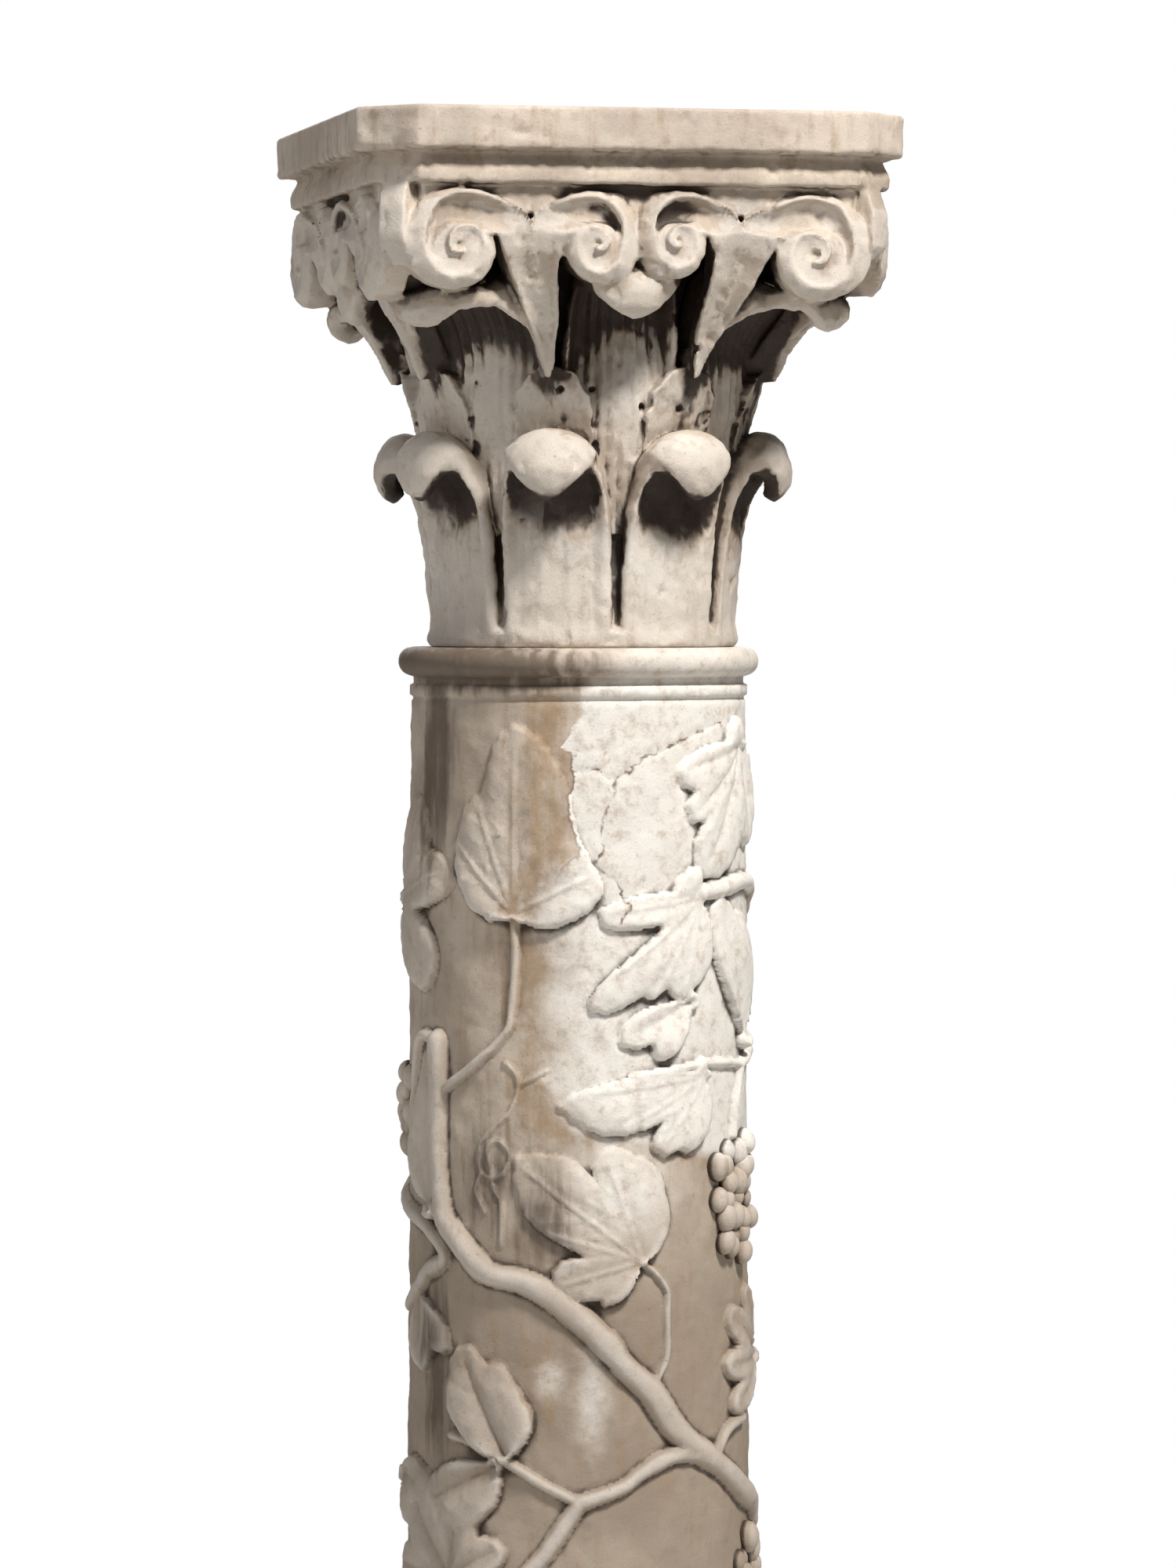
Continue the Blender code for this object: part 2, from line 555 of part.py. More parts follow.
def scroll(kind, side, eye_u, eye_z, size):
    """Rings of one band, from the foot of its half of the stalk, over the top and in to its eye."""
    toward_fork = side if kind == "inner" else -side
    eye = np.array([eye_u, eye_z])
    sections = []
    middle = [tuple(p) for p in smooth_path(STALK, STALK_PARTS)]
    halves = np.interp(np.linspace(0, 1, len(middle)), np.linspace(0, 1, len(STALK_HALF)), STALK_HALF)
    for (u, depth, z), half in zip(middle, halves):
        outer = np.array([side * u + 0.001 * toward_fork, z])
        inner = np.array([side * u - toward_fork * half, z])
        sections.append((outer, inner, 0, 0.002, depth))
    for angle in range(26, 662, SCROLL_DEGREES):
        way = np.array([toward_fork * math.cos(math.radians(angle)), math.sin(math.radians(angle))])
        outside = size * read_table(angle, OUTER_EDGE[kind])
        inside = size * read_table(angle + TURN, OUTER_EDGE[kind]) if angle < 310 else 0.25 * outside
        slope = size * read_table(angle, SIDE_SLOPE[kind]) * ramp(430, 395, angle)
        channel = CHANNEL_DEPTH * ramp(190, 105, angle) + 0.0014
        depth = SCROLL_PLANE + 0.0015 * ramp(20, 120, angle) + 0.002 * ramp(380, 480, angle)
        sections.append((eye + way * outside, eye + way * inside, slope, channel, depth))
    rings = []
    for outer, inner, slope, channel, depth in sections:
        band = inner - outer
        unit = band / max(np.linalg.norm(band), 1e-6)
        channel *= min(1, np.linalg.norm(band) / 0.016)
        back = depth - SCROLL_DEPTH
        section = [(outer - unit * slope, depth - 0.5 * slope - 0.003)]
        section += [(outer, depth), (outer + band * 0.10, depth), (outer + band * 0.26, depth - 0.8 * channel)]
        section += [(outer + band * 0.5, depth - channel), (outer + band * 0.85, depth - 0.9 * channel)]
        section += [(inner, depth - 0.9 * channel), (inner, depth - 0.013), (inner, back)]
        section += [(outer - unit * slope, back)]
        flat = np.array([place for place, _ in section])
        rings.append(on_face(flat[:, 0], np.array([d for _, d in section]), flat[:, 1]))
    return np.array(rings)


def scroll_drum(kind, side, eye_u, eye_z, size):
    """Rings of the drum behind a coil, which carries it from the bell."""
    turn = np.linspace(0, math.tau, 18, endpoint=False)
    radius = (0.025 if kind == "outer" else 0.020) * size
    return np.array(
        [
            on_face(eye_u + swell * np.cos(turn), np.full(18, depth), eye_z - 0.002 + swell * np.sin(turn))
            for swell, depth in ((radius, 0.228), (radius * 1.15, 0.205), (radius * 1.15, 0.160))
        ]
    )


def corner_strip():
    """Rings of the narrow upright face between the scrolls of two neighbouring faces."""
    rings = []
    for height, share in ((0.316, 0.80), (0.330, 0.96), (0.350, 1), (0.380, 1), (0.401, 0.98)):
        sideways = STRIP_HALF_WIDTH * np.array([-1, 1, 1.6, -1.6])
        outwards = np.array([share * STRIP_REACH, share * STRIP_REACH, 0.24, 0.24])
        offset = (outwards - sideways) / math.sqrt(2)
        depth = (outwards + sideways) / math.sqrt(2)
        rings.append(on_face(offset, depth, np.full(4, height)))
    return np.array(rings)


def eight_sided(half, cut, height):
    """The corners of the slab at one height, anticlockwise seen from above."""
    near = half - cut
    corners = [(near, -half), (half, -near), (half, near), (near, half)]
    corners += [(-near, half), (-half, near), (-half, -near), (-near, -half)]
    return [Vector((CAPITAL_SHIFT + x, y, CAPITAL_FOOT + height)) for x, y in corners]


def make_slab():
    """The slab, whose lower edge steps in and has a soft hollow under it."""
    levels = [
        (SLAB_UNDERSIDE, SLAB_INSET + 0.002),
        (SLAB_UNDERSIDE + 0.003, SLAB_INSET),
        (SLAB_UNDERSIDE + 0.012, SLAB_INSET + 0.001),
        (SLAB_STEP - 0.004, SLAB_HOLLOW),
        (SLAB_STEP - 0.001, SLAB_HOLLOW),
        (SLAB_STEP, 0),
        (CAPITAL_HEIGHT - 0.003, 0),
        (CAPITAL_HEIGHT, 0.003),
    ]
    rings = [
        eight_sided(SLAB_HALF_WIDTH - inset, SLAB_CORNER_CUT - 0.6 * inset, height) for height, inset in levels
    ]
    return loft("slab", rings)


def make_bell():
    """The plain bell behind the leaves, whose lip flares out under the slab."""
    turn = np.linspace(0, math.tau, STEPS, endpoint=False)
    profile = [(0.136, 0.006), (0.128, 0.022), (0.127, 0.10), (0.132, 0.20), (0.134, 0.25), (0.138, 0.30)]
    profile += [(0.147, 0.34), (0.165, 0.358), (0.198, 0.368), (0.205, 0.374)]
    profile += [(0.209, (SLAB_UNDERSIDE + BELL_LAP) / STRETCH)]
    return loft("bell", [round_axis(turn, np.full(STEPS, r), np.full(STEPS, z)) for r, z in profile])


def make_drum():
    """The plain foot of the capital, as a short drum on its own axis."""
    turn = np.linspace(0, math.tau, STEPS, endpoint=False)
    radius = np.full(STEPS, CAPITAL_FOOT_RADIUS / SPREAD)
    return loft("drum", [round_axis(turn, radius, np.full(STEPS, z)) for z in (0, FOOT_DRUM_HEIGHT)])


def make_capital():
    """The carved body is run together and thinned, then joined to its foot and its slab."""
    forms = [make_bell()]
    forms += ring_of("lower leaf", tongue(LOWER_LEAF, 0.006, 0.38, 0.80), 8, 22.5)
    forms += ring_of("corner leaf", tongue(CORNER_LEAF, 0.026, 0.36, 0.74), 4, 45)
    forms += ring_of("face leaf", tongue(FACE_LEAF, 0.024, 0.36, 0.74), 4, 0)
    forms += ring_of("corner strip", corner_strip(), 4, 0)
    for one in SCROLLS:
        forms += ring_of("scroll", scroll(*one), 4, 0)
        forms += ring_of("drum", scroll_drum(*one), 4, 0)
    carved = forms[0]
    work = bmesh.new()
    for form in forms:
        work.from_mesh(form.data)
    work.to_mesh(carved.data)
    work.free()
    for form in forms[1:]:
        bpy.data.objects.remove(form, do_unlink=True)
    remesh = carved.modifiers.new("Remesh", "REMESH")
    remesh.mode = "VOXEL"
    remesh.voxel_size = VOXEL
    settle(carved)
    thinned(carved, CAPITAL_TRIANGLES)
    capital = united(make_slab(), [carved, make_drum()])
    capital.name = "capital"
    return capital


base = outward(make_base())
base.data.materials.clear()
base.data.materials.append(marble("base marble", (0.47, 0.40, 0.32), 0.6))

shaft = outward(make_shaft())
shaft.data.materials.clear()
shaft.data.materials.append(marble("shaft marble", (0.49, 0.41, 0.33), 0.6))

capital = outward(make_capital())
capital.data.materials.clear()
capital.data.materials.append(marble("capital marble", (0.52, 0.45, 0.37), 0.6))
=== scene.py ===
import math

import bmesh
import bpy
import numpy as np
from mathutils import Matrix, Vector
from mathutils.bvhtree import BVHTree


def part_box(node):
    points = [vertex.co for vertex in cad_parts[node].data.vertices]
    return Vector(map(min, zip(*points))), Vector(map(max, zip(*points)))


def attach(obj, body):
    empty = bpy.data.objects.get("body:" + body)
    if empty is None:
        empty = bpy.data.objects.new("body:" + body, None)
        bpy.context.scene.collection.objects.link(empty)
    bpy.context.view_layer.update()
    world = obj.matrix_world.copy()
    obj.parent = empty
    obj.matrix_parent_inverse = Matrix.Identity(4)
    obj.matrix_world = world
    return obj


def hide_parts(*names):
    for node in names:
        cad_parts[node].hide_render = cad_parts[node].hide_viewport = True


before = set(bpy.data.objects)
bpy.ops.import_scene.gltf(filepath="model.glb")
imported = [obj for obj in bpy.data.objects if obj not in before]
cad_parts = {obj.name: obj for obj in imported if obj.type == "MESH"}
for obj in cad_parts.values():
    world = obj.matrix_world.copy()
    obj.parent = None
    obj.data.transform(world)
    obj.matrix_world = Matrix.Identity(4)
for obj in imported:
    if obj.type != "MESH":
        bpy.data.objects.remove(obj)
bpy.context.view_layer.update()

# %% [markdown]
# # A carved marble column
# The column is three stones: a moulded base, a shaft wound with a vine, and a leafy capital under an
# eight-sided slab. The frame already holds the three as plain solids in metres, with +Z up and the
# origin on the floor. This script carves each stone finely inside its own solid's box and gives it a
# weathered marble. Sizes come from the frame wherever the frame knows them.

ring_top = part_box("shaft")[1][2]
shaft_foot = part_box("shaft")[0][2]
shaft_length = ring_top - shaft_foot
capital_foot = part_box("capital")[0][2]
capital_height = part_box("capital")[1][2] - capital_foot
slab_half = (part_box("capital")[1][0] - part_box("capital")[0][0]) / 2
capital_shift = (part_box("capital")[1][0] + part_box("capital")[0][0]) / 2
base_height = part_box("base")[1][2]
plinth_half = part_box("base")[1][0]
print(f"shaft {shaft_length:.3f} m, capital {capital_height:.3f} m, slab half width {slab_half:.3f} m")

# %% [markdown]
# ## The camera
# A long lens a few metres away, a little above the ring and tipped down by less than two degrees,
# sees the column as it was photographed: from thirteen degrees to the left of the front face. The
# focal length is given in the picture's own pixels, and the sensor is fitted to its height.

# %% Camera
PICTURE_HEIGHT = 2000
FOCAL_PIXELS = 8000.0
VIEW_TURN = math.radians(12.66)
VIEW_TIP = 0.0312
VIEW_DISTANCE = 5.649
VIEW_RISE = 0.0525
VIEW_ASIDE = 0.0088

camera_data = bpy.data.cameras.new("camera")
camera_data.sensor_fit = "VERTICAL"
camera_data.sensor_height = 24
camera_data.lens = FOCAL_PIXELS / PICTURE_HEIGHT * camera_data.sensor_height
camera_data.clip_end = 60
camera = bpy.data.objects.new("camera", camera_data)
bpy.context.scene.collection.objects.link(camera)
turn = Matrix.Rotation(-VIEW_TURN, 4, "Z")
camera_place = turn @ Vector((VIEW_ASIDE, -VIEW_DISTANCE, 0))
camera_place.z = ring_top + VIEW_RISE
looks_along = turn @ Vector((0, math.cos(VIEW_TIP), -math.sin(VIEW_TIP)))
camera_turn = looks_along.to_track_quat("-Z", "Y").to_matrix().to_4x4()
camera.matrix_world = Matrix.Translation(camera_place) @ camera_turn
bpy.context.scene.camera = camera
print("camera stands at", [round(v, 3) for v in camera_place])

# %% [markdown]
# ## Light and floor
# Studio light on stone is one broad key from above the viewer's right, so that every leaf throws a
# soft shadow to its lower left, and a weak fill from the left. The world is white to the camera and
# much dimmer as a light, which keeps the hollows dark.

# %% Light and floor
def studio_light(name, azimuth, elevation, distance, size, watts, colour):
    """A square area light, placed by degrees from the camera's own direction."""
    data = bpy.data.lights.new(name, "AREA")
    data.shape = "SQUARE"
    data.size = size
    data.energy = watts
    data.color = colour
    lamp = bpy.data.objects.new(name, data)
    bpy.context.scene.collection.objects.link(lamp)
    around, up = math.radians(azimuth), math.radians(elevation)
    way = turn @ Vector((math.sin(around) * math.cos(up), -math.cos(around) * math.cos(up), math.sin(up)))
    lamp.location = Vector((0, 0, ring_top)) + way * distance
    lamp.rotation_euler = way.to_track_quat("Z", "Y").to_euler()
    return lamp


studio_light("key", 36, 51, 5.0, 0.8, 385, (1.0, 0.985, 0.965))
studio_light("fill", -58, 16, 5.0, 2.4, 70, (0.98, 0.985, 1.0))
studio_light("low fill", 40, -12, 4.0, 2.0, 12, (1.0, 0.98, 0.95))
studio_light("back fill", 185, 25, 5.0, 3.0, 90, (1.0, 0.99, 0.97))

world = bpy.data.worlds.new("studio")
bpy.context.scene.world = world
world.use_nodes = True
sky = world.node_tree.nodes
background = sky["Background"]
background.inputs["Color"].default_value = (1, 1, 1, 1)
rays = sky.new("ShaderNodeLightPath")
brightness = sky.new("ShaderNodeMapRange")
brightness.inputs["To Min"].default_value = 0.11
brightness.inputs["To Max"].default_value = 1.0
world.node_tree.links.new(rays.outputs["Is Camera Ray"], brightness.inputs["Value"])
world.node_tree.links.new(brightness.outputs["Result"], background.inputs["Strength"])
bpy.context.scene.view_settings.view_transform = "Standard"

FLOOR_REACH = 6.0
floor_corners = [(FLOOR_REACH * x, FLOOR_REACH * y, 0) for x, y in ((-1, -1), (1, -1), (1, 1), (-1, 1))]
floor_mesh = bpy.data.meshes.new("floor")
floor_mesh.from_pydata(floor_corners, [], [(0, 1, 2, 3)])
floor = bpy.data.objects.new("floor", floor_mesh)
bpy.context.scene.collection.objects.link(floor)
floor_paint = bpy.data.materials.new("pale studio floor")
floor_paint.use_nodes = True
floor_surface = floor_paint.node_tree.nodes["Principled BSDF"]
floor_surface.inputs["Base Color"].default_value = (0.80, 0.79, 0.77, 1)
floor_surface.inputs["Roughness"].default_value = 0.85
floor_mesh.materials.append(floor_paint)

# %% [markdown]
# ## Helpers for meshes
# Carving is easiest to describe as numbers on a grid, so most of the stone starts as a NumPy array
# of points. These helpers turn arrays into closed meshes and back. `wavy` is a smooth noise made of
# many plane waves. It has no seam round the shaft, because it reads points in space.

# %% Mesh helpers
def new_object(name, mesh):
    thing = bpy.data.objects.new(name, mesh)
    bpy.context.scene.collection.objects.link(thing)
    return thing


def mesh_of(name, points, quads, caps=()):
    """A mesh from an array of points, an array of quads and a few many-sided end caps."""
    mesh = bpy.data.meshes.new(name)
    faces = [tuple(q) for q in quads.tolist()] + [tuple(c) for c in caps]
    mesh.from_pydata(points.reshape(-1, 3).tolist(), [], faces)
    mesh.update()
    return mesh


def tube_faces(rings, count):
    """Quads that join rings of points, each ring closed on itself."""
    here = np.arange(rings - 1)[:, None] * count + np.arange(count)[None, :]
    after = np.arange(rings - 1)[:, None] * count + (np.arange(count)[None, :] + 1) % count
    return np.stack([here, after, after + count, here + count], axis=-1).reshape(-1, 4)


def loft(name, rings):
    """A closed body through an array of rings, shape (rings, points, 3), facing outwards."""
    count = rings.shape[1]
    last = (rings.shape[0] - 1) * count
    caps = [list(range(count))[::-1], [last + i for i in range(count)]]
    mesh = mesh_of(name, rings, tube_faces(rings.shape[0], count), caps)
    work = bmesh.new()
    work.from_mesh(mesh)
    bmesh.ops.recalc_face_normals(work, faces=work.faces)
    work.to_mesh(mesh)
    work.free()
    return mesh


def points_of(mesh):
    points = np.empty(len(mesh.vertices) * 3, np.float32)
    mesh.vertices.foreach_get("co", points)
    return points.reshape(-1, 3).astype(float)


def normals_of(mesh):
    normals = np.empty(len(mesh.vertices) * 3, np.float32)
    mesh.vertex_normals.foreach_get("vector", normals)
    return normals.reshape(-1, 3).astype(float)


def wavy(points, wavelength, seed, waves=20):
    """Smooth noise with a spread of about one, from plane waves in random directions."""
    dice = np.random.default_rng(seed)
    total = np.zeros(len(points))
    for _ in range(waves):
        way = dice.normal(size=3)
        way /= np.linalg.norm(way)
        pace = math.tau / wavelength * dice.uniform(0.6, 1.7)
        total += np.cos(points @ (way * pace) + dice.uniform(0, math.tau))
    return total * math.sqrt(2 / waves)


def smooth_step(low, high, value):
    t = np.clip((value - low) / (high - low), 0, 1)
    return t * t * (3 - 2 * t)


def curve_through(points, parts):
    """A Catmull-Rom curve through rows of an array."""
    p = np.asarray(points, float)
    p = np.vstack([2 * p[0] - p[1], p, 2 * p[-1] - p[-2]])
    t = (np.arange(parts) / parts)[:, None]
    spans = [
        0.5 * (2 * b + (c - a) * t + (2 * a - 5 * b + 4 * c - d) * t**2 + (3 * b - 3 * c + d - a) * t**3)
        for a, b, c, d in zip(p, p[1:], p[2:], p[3:])
    ]
    return np.vstack(spans + [p[-2:-1]])


def settled(thing):
    """Swaps an object's mesh for what its modifiers make, and clears them."""
    graph = bpy.context.evaluated_depsgraph_get()
    mesh = bpy.data.meshes.new_from_object(thing.evaluated_get(graph))
    thing.modifiers.clear()
    thing.data = mesh
    return thing


def triangles_in(mesh):
    return sum(len(p.vertices) - 2 for p in mesh.polygons)


def thinned(thing, triangles):
    """Collapses flat places until so many triangles are left."""
    now = triangles_in(thing.data)
    if now > triangles:
        fewer = thing.modifiers.new("Decimate", "DECIMATE")
        fewer.ratio = triangles / now
        settled(thing)
    print(thing.name, "went from", now, "to", triangles_in(thing.data), "triangles")


def move_points(thing, points):
    thing.data.vertices.foreach_set("co", points.astype(np.float32).ravel())
    thing.data.update()


def keep_inside(thing, node):
    """Moves the few points that thinning left outside a solid's box back onto it."""
    low, high = np.array(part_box(node)[0]) + 1e-5, np.array(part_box(node)[1]) - 1e-5
    move_points(thing, np.clip(points_of(thing.data), low, high))


def run_together(name, meshes, voxel):
    """One body from the outer skin of several that overlap."""
    work = bmesh.new()
    for mesh in meshes:
        work.from_mesh(mesh)
    whole = bpy.data.meshes.new(name)
    work.to_mesh(whole)
    work.free()
    thing = new_object(name, whole)
    skin = thing.modifiers.new("Remesh", "REMESH")
    skin.mode = "VOXEL"
    skin.voxel_size = voxel
    return settled(thing)


def give_finish(thing, material):
    thing.data.materials.clear()
    thing.data.materials.append(material)
    thing.data.shade_smooth()


def set_attribute(mesh, name, values):
    """Stores one number for each point, for the material to read."""
    layer = mesh.attributes.new(name, "FLOAT", "POINT")
    layer.data.foreach_set("value", np.asarray(values, np.float32))


PIECE_TRIANGLES = 190000

# %% [markdown]
# ## The vine's plan
# The vine is planned on the unrolled shaft: degrees round it from the middle of the front face, and
# millimetres down from the top of the ring. A stem is a short list of points that a smooth curve
# joins. A leaf is the point where its stalk ends and an outline drawn round that point by angle and
# reach. The leaves on the front are drawn one by one, and those round the back share a few shapes.

# %% The vine's plan
FRONT_STEM = [(-67, 350), (-67, 425), (-64, 500), (-57, 522), (-45, 550), (-31, 558), (-19, 574), (-4, 610)]
FRONT_STEM += [(3, 633), (12, 655), (21, 688), (30, 708), (43, 729), (58, 753), (76, 775)]
CROSSING_STEM = [(-91, 590), (-82, 576), (-73, 556), (-63, 539), (-77, 512), (-101, 499)]
LEAF_FOUR_STEM = [(67, 210), (46, 213), (33, 216)]
LOW_SHOOT = [(-12, 752), (-16, 768), (-20, 784), (-27, 809)]
MAIN_HALF, SIDE_HALF, BACK_HALF = 11.0, 7.0, 7.5

STEMS = [
    ([(-67, 385), (-69, 354), (-75, 345), (-81, 354), (-85, 388), (-87, 430)], 5.0),
    ([(40, 728), (30, 715), (22, 713), (15, 718), (8, 728), (2, 739), (-12, 752)], SIDE_HALF),
    ([(-12, 752), (-20, 742), (-27, 732), (-38, 715), (-45, 710), (-51, 702), (-59, 698)], 4.5),
    ([(38, 726), (40, 715), (43, 705), (48, 695), (58, 689)], 5.5),
    ([(12, 655), (15, 641), (18, 623), (18, 590), (18, 568), (14, 552), (9, 541)], 3.0),
    ([(-34, 237), (-34, 278), (-35, 320), (-38, 341), (-50, 369), (-65, 394)], 4.0),
    ([(58, 372), (37, 368), (21, 372), (6, 377)], 3.5),
    ([(58, 373), (56, 390), (54, 405), (52, 435)], 3.5),
    ([(-101, 220), (-77, 202), (-64, 197)], 3.5),
]
TENDRILS = [
    [(-38, 365), (-34, 374), (-33, 388), (-36, 408), (-41, 421), (-47, 437), (-48, 452), (-46, 465)]
    + [(-41, 467), (-37, 458), (-36, 445), (-40, 434), (-44, 441), (-43, 460), (-42, 476), (-39, 491)]
    + [(-39, 527)],
    [(-47, 462), (-49, 478), (-47, 490), (-45, 498)],
    [(-33, 384), (-28, 378), (-23, 371)],
]


def descent(start, slope, sweep, wave=14):
    """A stem that winds on round the shaft, by millimetres down for each degree."""
    azimuth, drop = start
    steps = max(2, round(abs(sweep) / 20))
    return [
        (azimuth + sweep * i / steps, drop + slope * sweep * i / steps + wave * math.sin(i * 1.4))
        for i in range(1, steps + 1)
    ]


main_stem = FRONT_STEM + descent(FRONT_STEM[-1], 2.03, 455)
low_stem = LOW_SHOOT + descent(LOW_SHOOT[-1], -2.0, -440)
back_stem = CROSSING_STEM + descent(CROSSING_STEM[-1], 1.5, -170, 10)
back_stem += [(az - 360, d) for az, d in LEAF_FOUR_STEM]
STEMS += [(main_stem, MAIN_HALF), (low_stem, SIDE_HALF), (back_stem, BACK_HALF)]
STEMS += [([(135, 318), (95, 352), (58, 372)], 4.5)]

# An outline is a list of (degrees clockwise from straight up, millimetres from the joint).
FIRST_LEAF = [(-150, 8), (-116, 14), (-107, 27), (-96, 30), (-86, 44), (-74, 54), (-59, 71), (-43, 90)]
FIRST_LEAF += [(-30, 104), (-20, 112), (-16, 117), (-8, 150), (0, 165), (8, 157), (17, 136), (23, 119)]
FIRST_LEAF += [(30, 102), (41, 88), (55, 80), (68, 83), (76, 80), (88, 67), (100, 48), (114, 33)]
FIRST_LEAF += [(132, 14), (160, 8)]
THIRD_LEAF = [(-82, 30), (-92, 70), (-98, 88), (-104, 96), (-112, 92), (-118, 84), (-121, 97)]
THIRD_LEAF += [(-128, 104), (-132, 101), (-136, 90), (-139, 110), (-145, 126), (-150, 133), (-156, 131)]
THIRD_LEAF += [(-163, 118), (-170, 102), (-180, 84), (-192, 92), (-205, 84), (-222, 54), (-240, 24)]
FOURTH_LEAF = [(-80, 30), (-88, 68), (-95, 102), (-100, 101), (-105, 96), (-112, 70), (-118, 50)]
FOURTH_LEAF += [(-124, 52), (-127, 122), (-130, 145), (-133, 142), (-137, 136), (-142, 118)]
FOURTH_LEAF += [(-145, 104), (-150, 106), (-156, 86), (-160, 92), (-165, 93), (-172, 86), (-180, 76)]
FOURTH_LEAF += [(-192, 56), (-205, 24)]
FIFTH_LEAF = [(-70, 12), (-82, 30), (-88, 62), (-92, 92), (-96, 128), (-99, 146), (-105, 135)]
FIFTH_LEAF += [(-114, 117), (-120, 101), (-126, 80), (-130, 62), (-134, 76), (-138, 84), (-148, 83)]
FIFTH_LEAF += [(-156, 72), (-164, 72), (-178, 58), (-195, 28)]
SIXTH_LEAF = [(-168, 14), (-158, 34), (-150, 44), (-141, 52), (-134, 50), (-128, 58), (-121, 67)]
SIXTH_LEAF += [(-107, 79), (-97, 77), (-89, 68), (-85, 50), (-81, 58), (-75, 83), (-68, 108)]
SIXTH_LEAF += [(-61, 124), (-56, 137), (-51, 145), (-46, 136), (-40, 122), (-33, 108), (-29, 84)]
SIXTH_LEAF += [(-26, 98), (-18, 104), (-8, 99), (2, 92), (13, 80), (24, 63), (35, 50), (52, 28)]
SIXTH_LEAF += [(74, 12)]
SEVENTH_LEAF = [(78, 8), (60, 18), (43, 37), (29, 48), (20, 54), (12, 62), (5, 68), (-1, 78), (-9, 86)]
SEVENTH_LEAF += [(-14, 84), (-21, 104), (-29, 106), (-36, 104), (-46, 93), (-56, 76), (-69, 45)]
SEVENTH_LEAF += [(-88, 12)]
EIGHTH_LEAF = [(-78, 10), (-85, 35), (-96, 68), (-104, 91), (-110, 95), (-117, 92), (-124, 82)]
EIGHTH_LEAF += [(-132, 88), (-140, 75), (-149, 81), (-155, 70), (-160, 58), (-168, 44), (-176, 39)]
EIGHTH_LEAF += [(-188, 22), (-205, 8)]


def lobed(heading, lobes):
    """An outline from lobes: degrees from the middle rib, a reach in mm and a half width in degrees."""
    outline = []
    for angle in range(0, 360, 4):
        reach = 9.0
        for middle, length, half in lobes:
            off = abs((angle - heading - middle + 180) % 360 - 180) / half
            reach = max(reach, length * max(0, 1 - off**1.9) ** 0.75)
        outline.append((angle, reach))
    return outline


def veins_of(heading, lobes):
    return [heading + lobe[0] for lobe in lobes]


SIDE_LOBES = [(-44, 109, 38), (-5, 113, 30), (51, 109, 40)]
SPRAY_LOBES = [(0, 145, 16), (-16, 118, 16), (-28, 84, 20)]
SMALL_LOBES = [(0, 78, 28), (-28, 62, 28)]
STUB_LOBES = [(0, 70, 44), (40, 62, 34)]
EDGE_LOBES = [(0, 90, 24), (30, 95, 24), (-28, 88, 24), (58, 80, 24)]
TALL_LOBES = [(0, 138, 26), (16, 118, 24)]
COMMON_LOBES = [(0, 122, 38), (50, 96, 36), (-50, 96, 36), (102, 66, 38), (-102, 66, 38)]

# Each leaf: its joint, its outline, where its ribs point, and how proud they stand in mm, or how deep.
LEAVES = [
    ((-34, 233), FIRST_LEAF, [0, -20, -43, 26, 64], 1.5),
    ((-101, 225), lobed(80, SIDE_LOBES), veins_of(80, SIDE_LOBES), 1.2),
    ((58, 88), THIRD_LEAF, [-103, -128, -150, -192], -1.0),
    ((32, 221), FOURTH_LEAF, [-128, -97, -150, -166], 1.2),
    ((28, 312), lobed(244, SMALL_LOBES), [-116], -0.8),
    ((34, 378), FIFTH_LEAF, [-97, -118, -142], 1.2),
    ((8, 539), SIXTH_LEAF, [-51, -72, -107, -18], 1.6),
    ((-37, 713), SEVENTH_LEAF, [-26], -1.2),
    ((-40, 721), EIGHTH_LEAF, [-116], -1.2),
    ((-70, 500), lobed(355, SPRAY_LOBES), [-5, -21], -0.6),
    ((-80, 575), lobed(170, [(0, 72, 40), (-35, 70, 30)]), [170], -0.8),
    ((-100, 745), lobed(90, STUB_LOBES), [90], -0.8),
    ((78, 640), lobed(270, EDGE_LOBES), veins_of(270, EDGE_LOBES), -0.8),
    ((60, 350), lobed(340, TALL_LOBES), [340], -0.5),
]
FRONT_BUNCH = [3, 4, 3, 4, 4, 3, 2]
BACK_BUNCH = [3, 4, 4, 3, 2, 1]
BUNCHES = [((52, 446), FRONT_BUNCH), ((-98, 385), [3, 3, 3, 3, 2]), ((66, 800), BACK_BUNCH)]


def leafing(path, first, last, spacing, every_bunch):
    """Leaves and bunches on alternate sides of a winding stem, behind and below the front."""
    mark, placed = first, 0
    way = 1 if last > first else -1
    for azimuth, drop in curve_through(path, 6):
        if (azimuth - mark) * way < 0 or (azimuth - last) * way > 0:
            continue
        mark += spacing * way
        side = 1 if placed % 2 else -1
        joint = (azimuth + 6 * way, drop + side * 52)
        if joint[1] < 80 or joint[1] > shaft_length * 1000 - 152:
            continue
        STEMS.append(([(azimuth, drop), (azimuth + 8 * way, drop + side * 22), joint], 4.0))
        if placed % every_bunch == every_bunch - 1 and side > 0:
            BUNCHES.append((joint, BACK_BUNCH))
        else:
            heading = (40 if side < 0 else 145) * way
            LEAVES.append((joint, lobed(heading, COMMON_LOBES), veins_of(heading, COMMON_LOBES), -1.0))
        placed += 1


leafing(main_stem, 100, 505, 37, 4)
leafing(low_stem, -52, -455, 37, 4)
leafing(back_stem, -128, -275, 37, 4)
BUNCHES.append(((180, 150), BACK_BUNCH))
print(len(STEMS), "stems,", len(LEAVES), "leaves and", len(BUNCHES), "bunches on the shaft")

# %% [markdown]
# ## The shaft as a height map
# The carving stands at most a centimetre out of the ground, and nowhere hangs over it, so the whole
# shaft can be one grid of points pushed out or in along its radius. Rows are close together where
# the mouldings turn, and further apart below the part that the photo shows.

